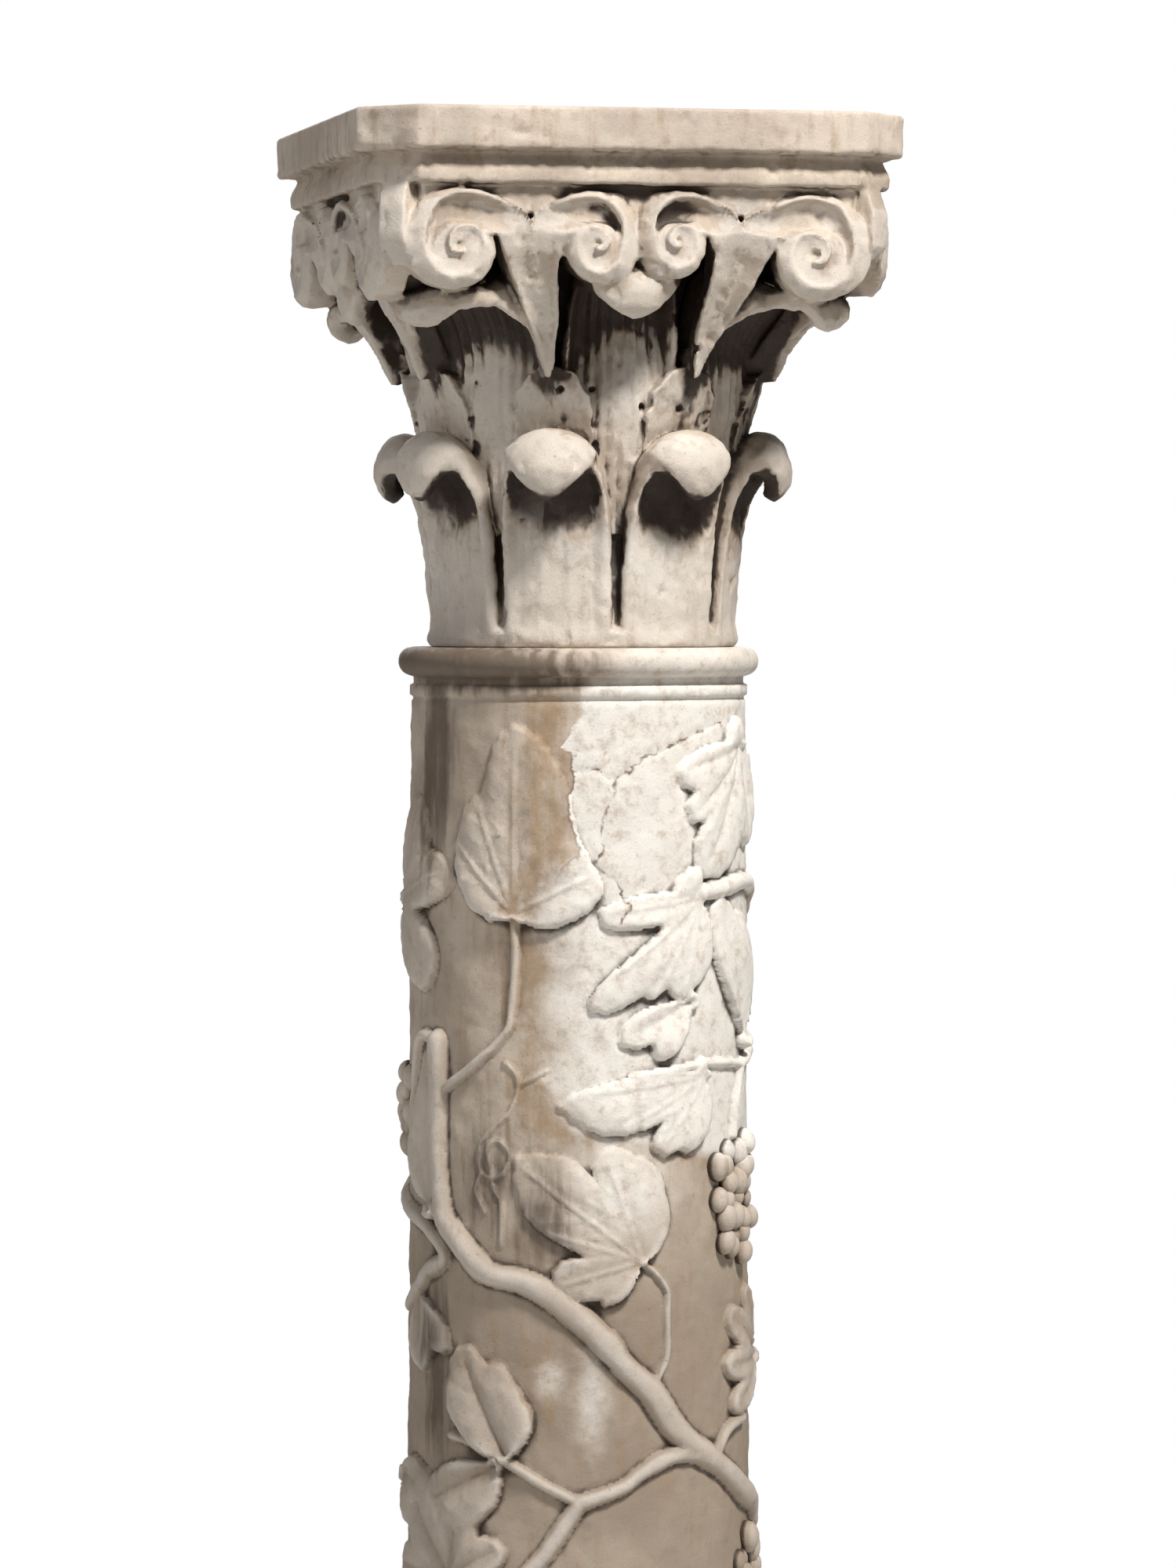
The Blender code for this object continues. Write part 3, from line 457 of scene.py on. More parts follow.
# %% The grid
NECK_RADIUS = 0.150
FOOT_RADIUS = 0.158
RING_RADIUS = 0.162
RING_HEIGHT = 0.026
GRID_STEP = 0.0021
around_neck = math.tau * NECK_RADIUS

columns = round(around_neck / GRID_STEP)
top_rows = np.linspace(0, 0.056, 46, endpoint=False)
front_rows = np.arange(0.056, 0.900, GRID_STEP)
low_rows = np.arange(front_rows[-1] + GRID_STEP, shaft_length - 0.045, GRID_STEP * 1.5)
foot_rows = np.linspace(low_rows[-1] + GRID_STEP, shaft_length, 24)
drops = np.concatenate([top_rows, front_rows, low_rows, foot_rows])
across = np.arange(columns) / columns * around_neck
azimuths = across / NECK_RADIUS
print(f"{len(drops)} rows by {columns} columns")


def plain_radius(drop):
    """The turned outline of the shaft: ring, fillet, long ground and foot fillet."""
    ground = NECK_RADIUS + (FOOT_RADIUS - NECK_RADIUS) * drop / shaft_length
    half = RING_HEIGHT / 2
    roll = RING_RADIUS - half + np.sqrt(np.clip(half**2 - (drop - half) ** 2, 0, None))
    radius = np.where(drop < RING_HEIGHT, np.maximum(roll, NECK_RADIUS - 0.0015), ground)
    radius -= 0.0018 * (smooth_step(0.0255, 0.0265, drop) - smooth_step(0.0325, 0.034, drop))
    radius += 0.0016 * (smooth_step(0.0325, 0.034, drop) - smooth_step(0.0425, 0.0445, drop))
    radius -= 0.0014 * (smooth_step(0.0430, 0.0445, drop) - smooth_step(0.0465, 0.0485, drop))
    from_foot = shaft_length - drop
    radius += 0.010 * (1 - smooth_step(0.020, 0.0235, from_foot))
    radius += 0.004 * (1 - smooth_step(0.0235, 0.050, from_foot)) * (from_foot > 0.0215)
    return radius


relief = np.zeros((len(drops), columns))

# %% [markdown]
# ## Leaves
# A vine leaf is drawn in polar form round the point where its stalk ends. Inside the outline the leaf
# swells. Its lower edge stands higher and crisper than its upper edge, a low rim follows the outline,
# and a groove sets the leaf off from the ground. Ribs run out to the lobes and stand up on some
# leaves, while on others they are cut in. Each rib lies in a shallow furrow.

# %% Leaves
LEAF_PROUD = 0.0095
RIM_PROUD = 0.0010
RIM_HALF = 0.0026
RIB_HALF = 0.0022
SIDE_RIB_HALF = 0.0016
SIDE_RIB_GAP = 0.023
SIDE_RIB_SLANT = 1.15
FURROW_HALF = 0.010
FURROW_DEPTH = 0.0022
GROOVE_HALF = 0.0028
GROOVE_DEPTH = 0.0007


def unrolled(azimuth, drop_mm):
    """Metres round the shaft and metres down, from degrees and millimetres."""
    return math.radians(azimuth) * NECK_RADIUS, drop_mm / 1000


def shorter_way(distance):
    return (distance + around_neck / 2) % around_neck - around_neck / 2


def reach_by_degree(outline):
    """How far an outline reaches, in metres for each whole degree. A wide gap in it stays almost bare."""
    points = sorted((a % 360, reach) for a, reach in outline)
    around = np.array([points[-1][0] - 360] + [a for a, _ in points] + [points[0][0] + 360], float)
    reaches = np.array([points[-1][1]] + [r for _, r in points] + [points[0][1]], float)
    gap = np.diff(around).argmax()
    if np.diff(around)[gap] > 40:
        around = np.insert(around, gap + 1, [around[gap] + 6, around[gap + 1] - 6])
        reaches = np.insert(reaches, gap + 1, [6, 6])
    reach = np.interp(np.arange(0, 360), around, reaches)
    return (np.roll(reach, 1) + 2 * reach + np.roll(reach, -1)) / 4000


def ribs_and_furrows(near, angle, reach, veins):
    """Ribs from the joint to the lobes, with side ribs, and the broad furrow round each one."""
    ribs, furrow = np.zeros(angle.shape), np.zeros(angle.shape)
    for vein in veins:
        off = (angle - vein + 180) % 360 - 180
        length = np.interp(vein % 360, np.arange(0, 360), reach)
        along = near * np.cos(np.radians(off))
        aside = np.abs(near * np.sin(np.radians(off)))
        within = smooth_step(1.0, 0.80, along / length) * (np.abs(off) < 89)
        line = np.exp(-((aside / RIB_HALF) ** 2)) * within
        slant = (along - SIDE_RIB_SLANT * aside) / SIDE_RIB_GAP
        from_branch = (slant % 1 - 0.5) * SIDE_RIB_GAP / SIDE_RIB_HALF
        branch = np.exp(-(from_branch**2)) * within * (np.abs(off) < 24)
        branch *= smooth_step(0.0, 0.012, along - SIDE_RIB_SLANT * aside)
        ribs = np.maximum(ribs, np.maximum(line, 0.35 * branch * (aside > 0.002)))
        furrow = np.maximum(furrow, np.exp(-((aside / FURROW_HALF) ** 2)) * within)
    return ribs, furrow


def raise_leaf(joint, outline, veins, rib_mm):
    x, drop = unrolled(*joint)
    longest = max(reach for _, reach in outline) / 1000 + 0.012
    rows = np.where(np.abs(drops - drop) < longest)[0]
    if not len(rows):
        return
    dx = shorter_way(across[None, :] - x)
    dy = drop - drops[rows, None]
    near = np.hypot(dx, dy)
    angle = np.degrees(np.arctan2(dx, dy)) % 360
    reach = reach_by_degree(outline)
    uneven = 1 + 0.012 * np.sin(np.radians(angle) * 13 + drop * 90)
    uneven = uneven + 0.015 * np.sin(dx * 330) * np.sin(dy * 290)
    outline_here = np.interp(angle, np.arange(0, 361), np.append(reach, reach[0])) * uneven
    edge = near / outline_here
    reach_up = (reach * np.cos(np.radians(np.arange(0, 360))))[reach > 0.02]
    half_height = np.ptp(reach_up) / 2 + 0.005
    lowness = np.clip((reach_up.mean() - dy) / half_height * 0.5 + 0.5, 0, 1)
    crisp = 7.0 + 5.0 * smooth_step(0.25, 0.60, lowness)
    body = np.clip(1 - edge**crisp, 0, 1) ** 0.6
    swell = 0.70 + 0.30 * np.sin(np.clip(edge, 0, 1) * math.pi * 0.8)
    height = LEAF_PROUD * body * swell * (0.74 + 0.26 * smooth_step(0.15, 0.75, lowness))
    height += RIM_PROUD * np.exp(-(((outline_here - near) / RIM_HALF - 1.3) ** 2))
    ribs, furrow = ribs_and_furrows(near, angle, reach, veins)
    height += (1.35 * rib_mm / 1000 * ribs - FURROW_DEPTH * furrow) * body * smooth_step(1.02, 0.85, edge)
    outside = (near - outline_here) / GROOVE_HALF
    groove = -GROOVE_DEPTH * np.exp(-((outside - 0.8) ** 2)) * (edge > 1)
    groove = groove * (0.80 + 0.20 * smooth_step(0.3, 0.6, lowness))
    here = relief[rows]
    relief[rows] = np.where(edge < 1, np.maximum(here, height), here + np.where(here < 0.001, groove, 0))


for leaf in LEAVES:
    raise_leaf(*leaf)
print(f"leaves stand up to {relief.max() * 1000:.1f} mm out of the ground")

# %% [markdown]
# ## Stems and tendrils
# A stem is a rounded ridge along a smooth curve. It swells at the joints, where shoots leave it, and
# its width wanders as a real vine's does. A tendril is the same ridge, only a few millimetres wide.

# %% Stems and tendrils
STEM_PROUD = 0.0090


def raise_stem(path, half_mm, proud=STEM_PROUD):
    points = curve_through([unrolled(az, d) for az, d in path], 8)
    travelled = np.concatenate([[0], np.cumsum(np.hypot(*np.diff(points, axis=0).T))])
    half = half_mm / 1000
    for (ax, ay), (bx, by), run in zip(points, points[1:], travelled):
        joint_here = math.exp(-(((run % 0.14) - 0.07) / 0.008) ** 2)
        width = half * (1 + 0.10 * math.sin(run * 47) + 0.16 * joint_here)
        rows = np.where(np.abs(drops - (ay + by) / 2) < abs(ay - by) / 2 + width + 0.003)[0]
        if not len(rows):
            continue
        dx = shorter_way(across[None, :] - ax)
        dy = drops[rows, None] - ay
        length = max((bx - ax) ** 2 + (by - ay) ** 2, 1e-12)
        t = np.clip((dx * (bx - ax) + dy * (by - ay)) / length, 0, 1)
        away = np.hypot(dx - t * (bx - ax), dy - t * (by - ay)) / width
        rise = proud * min(1, 0.35 + half / 0.016) * np.clip(1 - (away / 1.12) ** 2.2, 0, 1) ** 0.72
        here = relief[rows]
        groove = -0.0006 * np.exp(-(((away - 1.30) * width / 0.0020) ** 2)) * (away > 1.12)
        deepest = np.where((here < 0.0005) & (groove < here), groove, here)
        relief[rows] = np.where(away < 1.12, np.maximum(here, rise), deepest)


for path, half_width in STEMS:
    raise_stem(path, half_width)
for path in TENDRILS:
    raise_stem(path, 2.0, 0.0045)
print(f"{len(STEMS) + len(TENDRILS)} stems and tendrils")

# %% [markdown]
# ## Wear on the shaft
# The ground between the leaves was left by a point and a rasp, so it is never quite round. Centuries
# of handling and weather then softened the high places and opened a crack. Low waves roughen the
# ground, a shallow line follows the crack, and a fade keeps the mouldings clean.

# %% Ground, crack and finished grid
# Each line: how wide it is in mm, then its places.
CRACKS = [
    (1.9, [(45, 67), (32, 74), (21, 86), (14, 93), (8, 101), (4, 109), (0, 115), (-1, 128), (-4, 151)]
        + [(-5, 166)]),
    (1.6, [(-5, 166), (-4, 175), (-6, 186), (-7, 193), (-3, 199), (1, 209), (2, 219), (4, 228), (1, 243)]),
    (1.4, [(0, 115), (-3, 113), (-6, 106), (-11, 108), (-15, 110)]),
    (0.9, [(-15, 90), (-10, 89), (-5, 90), (-2, 95), (-2, 104), (0, 115)]),
    (0.8, [(-11, 46), (-9, 52), (-9, 58), (-12, 64)]),
]



def on_shaft(radius):
    """The grid's points in space, from the radius at each of them."""
    height = (ring_top - drops)[:, None] + 0 * radius
    return np.stack([radius * np.sin(azimuths), -radius * np.cos(azimuths), height], axis=-1)


radii = plain_radius(drops)[:, None] * np.ones((1, columns))
flat_points = on_shaft(radii).reshape(-1, 3)
ground_waves = 0.00045 * wavy(flat_points, 0.055, 3) + 0.00022 * wavy(flat_points, 0.016, 4)
ground_waves = ground_waves.reshape(radii.shape)
off_ring = smooth_step(0.050, 0.060, drops)
off_foot = smooth_step(0.026, 0.040, shaft_length - drops)
carved = off_ring[:, None] * off_foot[:, None]


def crack_depth(width_mm, places):
    """How near each grid point is to a crack: one on it, and nothing a few millimetres away."""
    line = curve_through([unrolled(az, d) for az, d in places], 6)
    dice = np.random.default_rng(8)
    line[1:-1] += dice.normal(scale=0.0011, size=line[1:-1].shape)
    depth = np.zeros_like(relief)
    for (ax, ay), (bx, by) in zip(line, line[1:]):
        rows = np.where(np.abs(drops - (ay + by) / 2) < abs(ay - by) / 2 + 0.006)[0]
        dx = shorter_way(across[None, :] - ax)
        dy = drops[rows, None] - ay
        length = max((bx - ax) ** 2 + (by - ay) ** 2, 1e-12)
        t = np.clip((dx * (bx - ax) + dy * (by - ay)) / length, 0, 1)
        away = np.hypot(dx - t * (bx - ax), dy - t * (by - ay))
        line_here = np.exp(-((away / width_mm * 1000) ** 2)) * min(1, width_mm / 1.5)
        depth[rows] = np.maximum(depth[rows], line_here)
    return depth


crack = np.max([crack_depth(*one) for one in CRACKS], axis=0)
worn = relief - 0.0011 * crack
radii = radii + worn * carved + ground_waves * (0.35 + 0.65 * carved)
grid_points = on_shaft(radii)
print(f"shaft radius runs from {radii.min():.4f} to {radii.max():.4f} m")

# %% [markdown]
# ## Shading masks
# Old marble is never one colour. Cleaned or worn places are nearly white, sheltered ones keep a warm
# grey-brown skin, and dirt sits in the hollows, darkened further as painted shade. Each mask is one
# number per point: soft ovals for the large zones, and the difference between the local mean height and
# the height for the hollows. The material adds the ragged map-like edges later.

# %% Masks on the grid
def oval(azimuth, drop_mm, half_azimuth, half_drop_mm):
    """One in the middle of an oval on the unrolled shaft, falling to nothing at its edge."""
    x, drop = unrolled(azimuth, drop_mm)
    dx = shorter_way(across[None, :] - x) / (math.radians(half_azimuth) * NECK_RADIUS)
    dy = (drops[:, None] - drop) / (half_drop_mm / 1000)
    return np.clip(1.25 - np.hypot(dx, dy) * 0.75, 0, 1)


def local_mean(grid, reach_rows, reach_columns):
    """A box blur that wraps round the shaft."""
    total = np.zeros_like(grid)
    for shift in range(-reach_columns, reach_columns + 1):
        total += np.roll(grid, shift, axis=1)
    grid = total / (2 * reach_columns + 1)
    padded = np.pad(grid, ((reach_rows, reach_rows), (0, 0)), mode="edge")
    sums = np.cumsum(np.vstack([np.zeros((1, grid.shape[1])), padded]), axis=0)
    return (sums[2 * reach_rows + 1:] - sums[: -2 * reach_rows - 1]) / (2 * reach_rows + 1)


blur = 5
mean_height = local_mean(worn * carved, blur, blur)
# The hollow mask is dirt and painted shade: it darkens grooves and the ground along the edges of leaves and
# stems.
hollow_dirt_and_shade = np.clip((mean_height - worn * carved) / 0.0034 - 0.12, 0, 1) * 0.85
ridge_grid = np.clip((worn * carved - mean_height) / 0.0036, 0, 1)
CLEAN_EDGE = [(-6, 0), (-8, 20), (-10, 36), (-13, 45), (-11, 58), (-15, 71), (-17, 84), (-19, 87)]
CLEAN_EDGE += [(-15, 90), (-15, 120), (-16, 131), (-13, 166), (-12, 179), (-15, 188), (-19, 201)]
CLEAN_EDGE += [(-22, 214), (-23, 230), (-22, 256), (-18, 281), (-21, 299), (-22, 316), (-18, 343)]
CLEAN_EDGE += [(-19, 363), (-23, 381), (-19, 394), (-12, 425), (10, 440), (40, 455), (60, 470)]
edge_azimuth, edge_drop = np.array(CLEAN_EDGE, float).T
edge_here = np.interp(drops * 1000, edge_drop, edge_azimuth)[:, None]
beside = (np.degrees(azimuths)[None, :] + 180) % 360 - 180 - edge_here
within = smooth_step(0.54, 0.39, drops)[:, None]
ramp_degrees = (14 + 26 * smooth_step(0.17, 0.26, drops) + 20 * smooth_step(0.035, 0.020, drops))[:, None]
clean_side = np.clip(0.5 + beside / ramp_degrees, 0, 1) * smooth_step(104, 84, beside) * within
clean_side *= 1 - 0.40 * smooth_step(0.036, 0.026, drops)[:, None]
sharp_grid = smooth_step(0.028, 0.075, drops) * smooth_step(0.22, 0.165, drops)
bright_spots = [clean_side, 0.62 * oval(2, 470, 20, 60), 0.50 * oval(-8, 665, 8, 60)]
bright_spots += [0.52 * oval(-22, 640, 7, 26), oval(160, 300, 40, 150)]
bright_spots += [0.9 * oval(-140, 900, 30, 200), 0.8 * oval(90, 1150, 26, 160)]
beside_edge = np.clip(1.15 - np.abs(beside + 9) / 13, 0, 1) * within
# The stain oval at 27 mm under the ring and the dark oval at 33 mm in its groove are painted shade as well as
# stain.
stain_and_shade_spots = [beside_edge * smooth_step(0.030, 0.048, drops)[:, None], 0.9 * oval(15, 27, 75, 6)]
stain_and_shade_spots += [oval(-25, 130, 9, 60), 0.7 * oval(-26, 640, 9, 40), 0.8 * oval(120, 500, 20, 200)]
soot_and_shade_spots = [1.1 * oval(-69, 90, 9, 100), 1.35 * oval(-58, 16, 46, 20), 0.9 * oval(-20, 33, 60, 5)]
soot_and_shade_spots += [0.8 * oval(-44, 470, 14, 50), 0.85 * oval(-24, 500, 13, 45), oval(-68, 640, 8, 90)]
soot_and_shade_spots += [0.8 * oval(-170, 700, 12, 300)]
grid_masks = {
    "hollow": hollow_dirt_and_shade,
    "ridge": ridge_grid,
    "bright": np.max(bright_spots, 0),
    "stain": np.max(stain_and_shade_spots, 0),
    "soot_and_shade": np.max(soot_and_shade_spots, 0),
    "crack": crack * (0.75 + 0.25 * np.sin(across[None, :] * 310) * np.sin(drops[:, None] * 270)),
    "low": (smooth_step(0.40, 0.60, drops) * smooth_step(1.05, 0.72, drops))[:, None] + 0 * radii,
    "sharp": sharp_grid[:, None] + 0 * radii,
    "proud": np.clip(worn * carved / 0.008, 0, 1),
}


def sample(grid, azimuth, drop):
    """Reads a grid at any azimuth (radians) and drop (metres), between its points."""
    row = np.interp(drop, drops, np.arange(len(drops)))
    column = (azimuth / math.tau * columns) % columns
    r0 = np.clip(row.astype(int), 0, len(drops) - 2)
    c0 = column.astype(int) % columns
    fr, fc = row - r0, column - np.floor(column)
    c1 = (c0 + 1) % columns
    low = grid[r0, c0] * (1 - fc) + grid[r0, c1] * fc
    high = grid[r0 + 1, c0] * (1 - fc) + grid[r0 + 1, c1] * fc
    return low * (1 - fr) + high * fr


# %% Shaft mesh
quads = tube_faces(len(drops), columns)[:, ::-1]
last_row = (len(drops) - 1) * columns
shaft_caps = [list(range(columns)), [last_row + i for i in range(columns)][::-1]]
shaft = new_object("carved_shaft", mesh_of("carved_shaft", grid_points, quads, shaft_caps))
thinned(shaft, PIECE_TRIANGLES)
shaft_points = points_of(shaft.data)
shaft_azimuth = np.arctan2(shaft_points[:, 0], -shaft_points[:, 1])
for name, grid in grid_masks.items():
    set_attribute(shaft.data, name, sample(grid, shaft_azimuth, ring_top - shaft_points[:, 2]))

# %% [markdown]
# ## Weathered marble
# The stone is a fine white marble under an old skin. One function builds the finish for all three
# stones, so that they look cut from the same quarry. Marble has an IOR of about 1.5, no metal, and a
# worn surface is matt: roughness near 0.6. The large zones come from the masks, and noise in object
# space breaks their edges into ragged, map-like shores with a thin brown line along them.

# %% Marble material
def linear(hex_colour):
    """A linear RGBA colour from an sRGB hex value."""
    parts = [int(hex_colour[i : i + 2], 16) / 255 for i in (1, 3, 5)]
    return (*[c / 12.92 if c <= 0.04045 else ((c + 0.055) / 1.055) ** 2.4 for c in parts], 1)


def add(tree, kind, inputs=None, **settings):
    """Adds a node, with its settings, and with values or other nodes' sockets on its inputs."""
    node = tree.nodes.new(kind)
    for name, value in settings.items():
        setattr(node, name, value)
    for name, value in (inputs or {}).items():
        if isinstance(value, bpy.types.NodeSocket):
            tree.links.new(value, node.inputs[name])
        else:
            node.inputs[name].default_value = value
    return node


CLEAN = linear("#e0dbd3")
CREAM = linear("#d2c8bd")
SKIN = linear("#bdaf9f")
GREY_SKIN = linear("#a29384")
LOW_SKIN = linear("#8b7b6a")
STAIN = linear("#937a5d")
SOOT_AND_SHADE = linear("#55473a")
SHORE = linear("#69503a")
DIRT_AND_SHADE = linear("#2d2018")
DULL = linear("#8d7a67")
GRIT = linear("#6f6254")


def marble(name, grain_mm=1.6, pit_mm=7.0):
    material = bpy.data.materials.new(name)
    material.use_nodes = True
    tree = material.node_tree
    surface = tree.nodes["Principled BSDF"]
    place = add(tree, "ShaderNodeTexCoord").outputs["Object"]

    def noise(wavelength_mm, detail=4.0, roughness=0.6, distortion=0.0):
        inputs = {"Vector": place, "Scale": 1000 / wavelength_mm, "Detail": detail}
        inputs |= {"Roughness": roughness, "Distortion": distortion}
        return add(tree, "ShaderNodeTexNoise", inputs).outputs["Fac"]

    def mask(attribute):
        return add(tree, "ShaderNodeAttribute", attribute_name=attribute).outputs["Fac"]

    def math_of(operation, first, second):
        return add(tree, "ShaderNodeMath", {0: first, 1: second}, operation=operation).outputs[0]

    def between(value, low, high):
        inputs = {"Value": value, "From Min": low, "From Max": high}
        return add(tree, "ShaderNodeMapRange", inputs, interpolation_type="SMOOTHSTEP").outputs["Result"]

    def mixed(amount, under, over):
        return add(tree, "ShaderNodeMix", {0: amount, 6: under, 7: over}, data_type="RGBA").outputs[2]

    def layer(under, over, amount, strength):
        """One colour laid over another by a mask, at most so strongly."""
        return mixed(math_of("MULTIPLY", amount, strength), under, over)

    coast = noise(30, 8.0, 0.68, 0.3)
    clouds = noise(95, 4.0)
    mottle = noise(13, 6.0, 0.70)
    specks = noise(4.5, 3.0, 0.6)
    grain = noise(grain_mm, 2.0)
    stretched = add(tree, "ShaderNodeVectorMath", {0: place, 1: (1, 1, 0.14)}, operation="MULTIPLY")
    streaks = {"Vector": stretched.outputs[0], "Scale": 1000 / 11, "Detail": 5.0}
    runs = add(tree, "ShaderNodeTexNoise", streaks).outputs["Fac"]

    def pushed(attribute, pattern, spread):
        """A mask whose level is pushed up and down by a pattern."""
        push = math_of("MULTIPLY", math_of("SUBTRACT", pattern, 0.5), spread)
        return math_of("ADD", mask(attribute), push)

    # The skin: beige, greyer in clouds and towards the foot, with darker runs down it.
    colour = mixed(between(clouds, 0.36, 0.64), SKIN, GREY_SKIN)
    colour = layer(colour, LOW_SKIN, mask("low"), 0.70)
    colour = layer(colour, STAIN, between(runs, 0.52, 0.72), 0.30)
    colour = layer(colour, CREAM, between(pushed("proud", mottle, 0.8), 0.25, 1.1), 0.42)
    # Brown stains and the sooty layer have soft edges and run downwards; the sooty layer also paints shade
    # under hoods and ledges.
    streaky = math_of("MULTIPLY", math_of("ADD", mottle, runs), 0.5)
    colour = layer(colour, STAIN, between(pushed("stain", streaky, 3.2), 0.15, 1.20), 0.80)
    colour = layer(colour, SOOT_AND_SHADE, between(pushed("soot_and_shade", runs, 1.4), 0.30, 1.0), 0.84)
    # Clean stone ends at a ragged shore with a thin brown line where it is sharp, and fades out elsewhere.
    shore_level = pushed("bright", coast, 0.62)
    spread = math_of("SUBTRACT", 0.32, math_of("MULTIPLY", mask("sharp"), 0.285))
    clean = between(shore_level, math_of("SUBTRACT", 0.5, spread), math_of("ADD", 0.5, spread))
    colour = layer(colour, mixed(between(mottle, 0.42, 0.74), CLEAN, CREAM), clean, 0.92)
    shore = math_of("MULTIPLY", between(shore_level, 0.44, 0.49), between(shore_level, 0.535, 0.495))
    shore = math_of("MULTIPLY", math_of("MULTIPLY", shore, mask("sharp")), between(clouds, 0.40, 0.58))
    colour = layer(colour, SHORE, shore, 0.75)
    # Worn arrises are pale, and dirt stays in pits and cracks; in the hollows the dark layer is dirt and
    # painted shade.
    colour = layer(colour, CLEAN, between(mask("ridge"), 0.15, 0.9), 0.30)
    colour = layer(colour, DULL, between(mottle, 0.50, 0.72), 0.35)
    colour = layer(colour, SOOT_AND_SHADE, between(specks, 0.66, 0.76), 0.45)
    colour = layer(colour, DIRT_AND_SHADE, between(pushed("hollow", mottle, 0.55), 0.22, 0.90), 0.93)
    colour = layer(colour, SHORE, between(pushed("crack", mottle, 1.1), 0.32, 0.88), 0.92)
    colour = layer(colour, GRIT, between(grain, 0.45, 0.80), 0.16)
    tree.links.new(colour, surface.inputs["Base Color"])
    rough = add(tree, "ShaderNodeMapRange", {"Value": mottle, "To Min": 0.52, "To Max": 0.74})
    tree.links.new(rough.outputs["Result"], surface.inputs["Roughness"])
    surface.inputs["IOR"].default_value = 1.5
    surface.inputs["Specular IOR Level"].default_value = 0.35

    pits = add(tree, "ShaderNodeTexVoronoi", {"Vector": place, "Scale": 1000 / pit_mm, "Randomness": 1.0})
    pit_depth = between(pits.outputs["Distance"], 0.0, 0.22)
    height = math_of("ADD", math_of("MULTIPLY", mottle, 0.9), math_of("MULTIPLY", grain, 0.35))
    height = math_of("ADD", height, math_of("MULTIPLY", pit_depth, 0.25))
    bump = add(tree, "ShaderNodeBump", {"Strength": 0.55, "Distance": 0.0012, "Height": height})
    tree.links.new(bump.outputs["Normal"], surface.inputs["Normal"])
    return material


aged_marble = marble("weathered white marble, shaft")
give_finish(shaft, aged_marble)
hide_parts("shaft")
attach(shaft, "root")

# %% [markdown]
# ## Grapes
# Grapes repeat, so Geometry Nodes place them: the tree takes a cloud of points, puts one small round
# grape on each, tips and sizes each at random from a fixed seed, and realises the copies. The points
# are rows that taper downwards, set into the ground by a third so that each grape looks carved.

# %% Grapes
GRAPE_RADIUS = 0.0105


def grape_points():
    pitch = 1.75 * GRAPE_RADIUS
    dice = np.random.default_rng(12)
    places = []
    for top, rows_of in BUNCHES:
        x, drop = unrolled(*top)
        for row, count in enumerate(rows_of):
            for place in range(count):
                gx = x + (place - (count - 1) / 2 + 0.25 * (-1) ** row) * pitch + dice.normal(scale=0.0030)
                gd = drop + row * pitch * 0.84 + dice.normal(scale=0.0030)
                stand = plain_radius(np.array([gd]))[0] + GRAPE_RADIUS * dice.uniform(-0.30, 0.35)
                turn_by = gx / NECK_RADIUS
                places.append((stand * math.sin(turn_by), -stand * math.cos(turn_by), ring_top - gd))
    return places


def copies_tree(name, seed):
    """A tree that puts a copy of one object on each point of a mesh, and gives all of them one material."""
    tree = bpy.data.node_groups.new(name, "GeometryNodeTree")
    face = tree.interface
    face.new_socket("Points", in_out="INPUT", socket_type="NodeSocketGeometry")
    face.new_socket("Radius", in_out="INPUT", socket_type="NodeSocketFloat")
    face.new_socket("Unevenness", in_out="INPUT", socket_type="NodeSocketFloat")
    face.new_socket("Material", in_out="INPUT", socket_type="NodeSocketMaterial")
    face.new_socket("Grapes", in_out="OUTPUT", socket_type="NodeSocketGeometry")
    given = add(tree, "NodeGroupInput").outputs
    ball = add(tree, "GeometryNodeMeshIcoSphere", {"Radius": given["Radius"], "Subdivisions": 3})
    longer = {"Geometry": ball.outputs["Mesh"], "Scale": (1.0, 1.0, 1.18)}
    drop_shape = add(tree, "GeometryNodeTransform", longer)
    low = add(tree, "ShaderNodeMath", {0: 1.0, 1: given["Unevenness"]}, operation="SUBTRACT")
    high = add(tree, "ShaderNodeMath", {0: 1.0, 1: given["Unevenness"]}, operation="ADD")
    size = add(tree, "FunctionNodeRandomValue", data_type="FLOAT")
    tree.links.new(low.outputs[0], size.inputs[2])
    tree.links.new(high.outputs[0], size.inputs[3])
    size.inputs["Seed"].default_value = seed
    spin = add(tree, "FunctionNodeRandomValue", data_type="FLOAT_VECTOR")
    spin.inputs[0].default_value = (-0.4, -0.4, -0.4)
    spin.inputs[1].default_value = (0.4, 0.4, 0.4)
    spin.inputs["Seed"].default_value = seed + 1
    grape_on = {"Points": given["Points"], "Instance": drop_shape.outputs[0]}
    copies = add(tree, "GeometryNodeInstanceOnPoints", grape_on)
    tree.links.new(spin.outputs[0], copies.inputs["Rotation"])
    tree.links.new(size.outputs[1], copies.inputs["Scale"])
    real = add(tree, "GeometryNodeRealizeInstances", {"Geometry": copies.outputs["Instances"]})
    smooth = add(tree, "GeometryNodeSetShadeSmooth", {"Geometry": real.outputs["Geometry"]})
    finish = {"Geometry": smooth.outputs["Geometry"], "Material": given["Material"]}
    painted = add(tree, "GeometryNodeSetMaterial", finish)
    add(tree, "NodeGroupOutput", {"Grapes": painted.outputs["Geometry"]})
    return tree


def set_inputs(modifier, values):
    """Sets a node modifier's inputs by their identifiers, found from their names."""
    for item in modifier.node_group.interface.items_tree:
        if item.item_type == "SOCKET" and item.in_out == "INPUT" and item.name in values:
            modifier[item.identifier] = values[item.name]


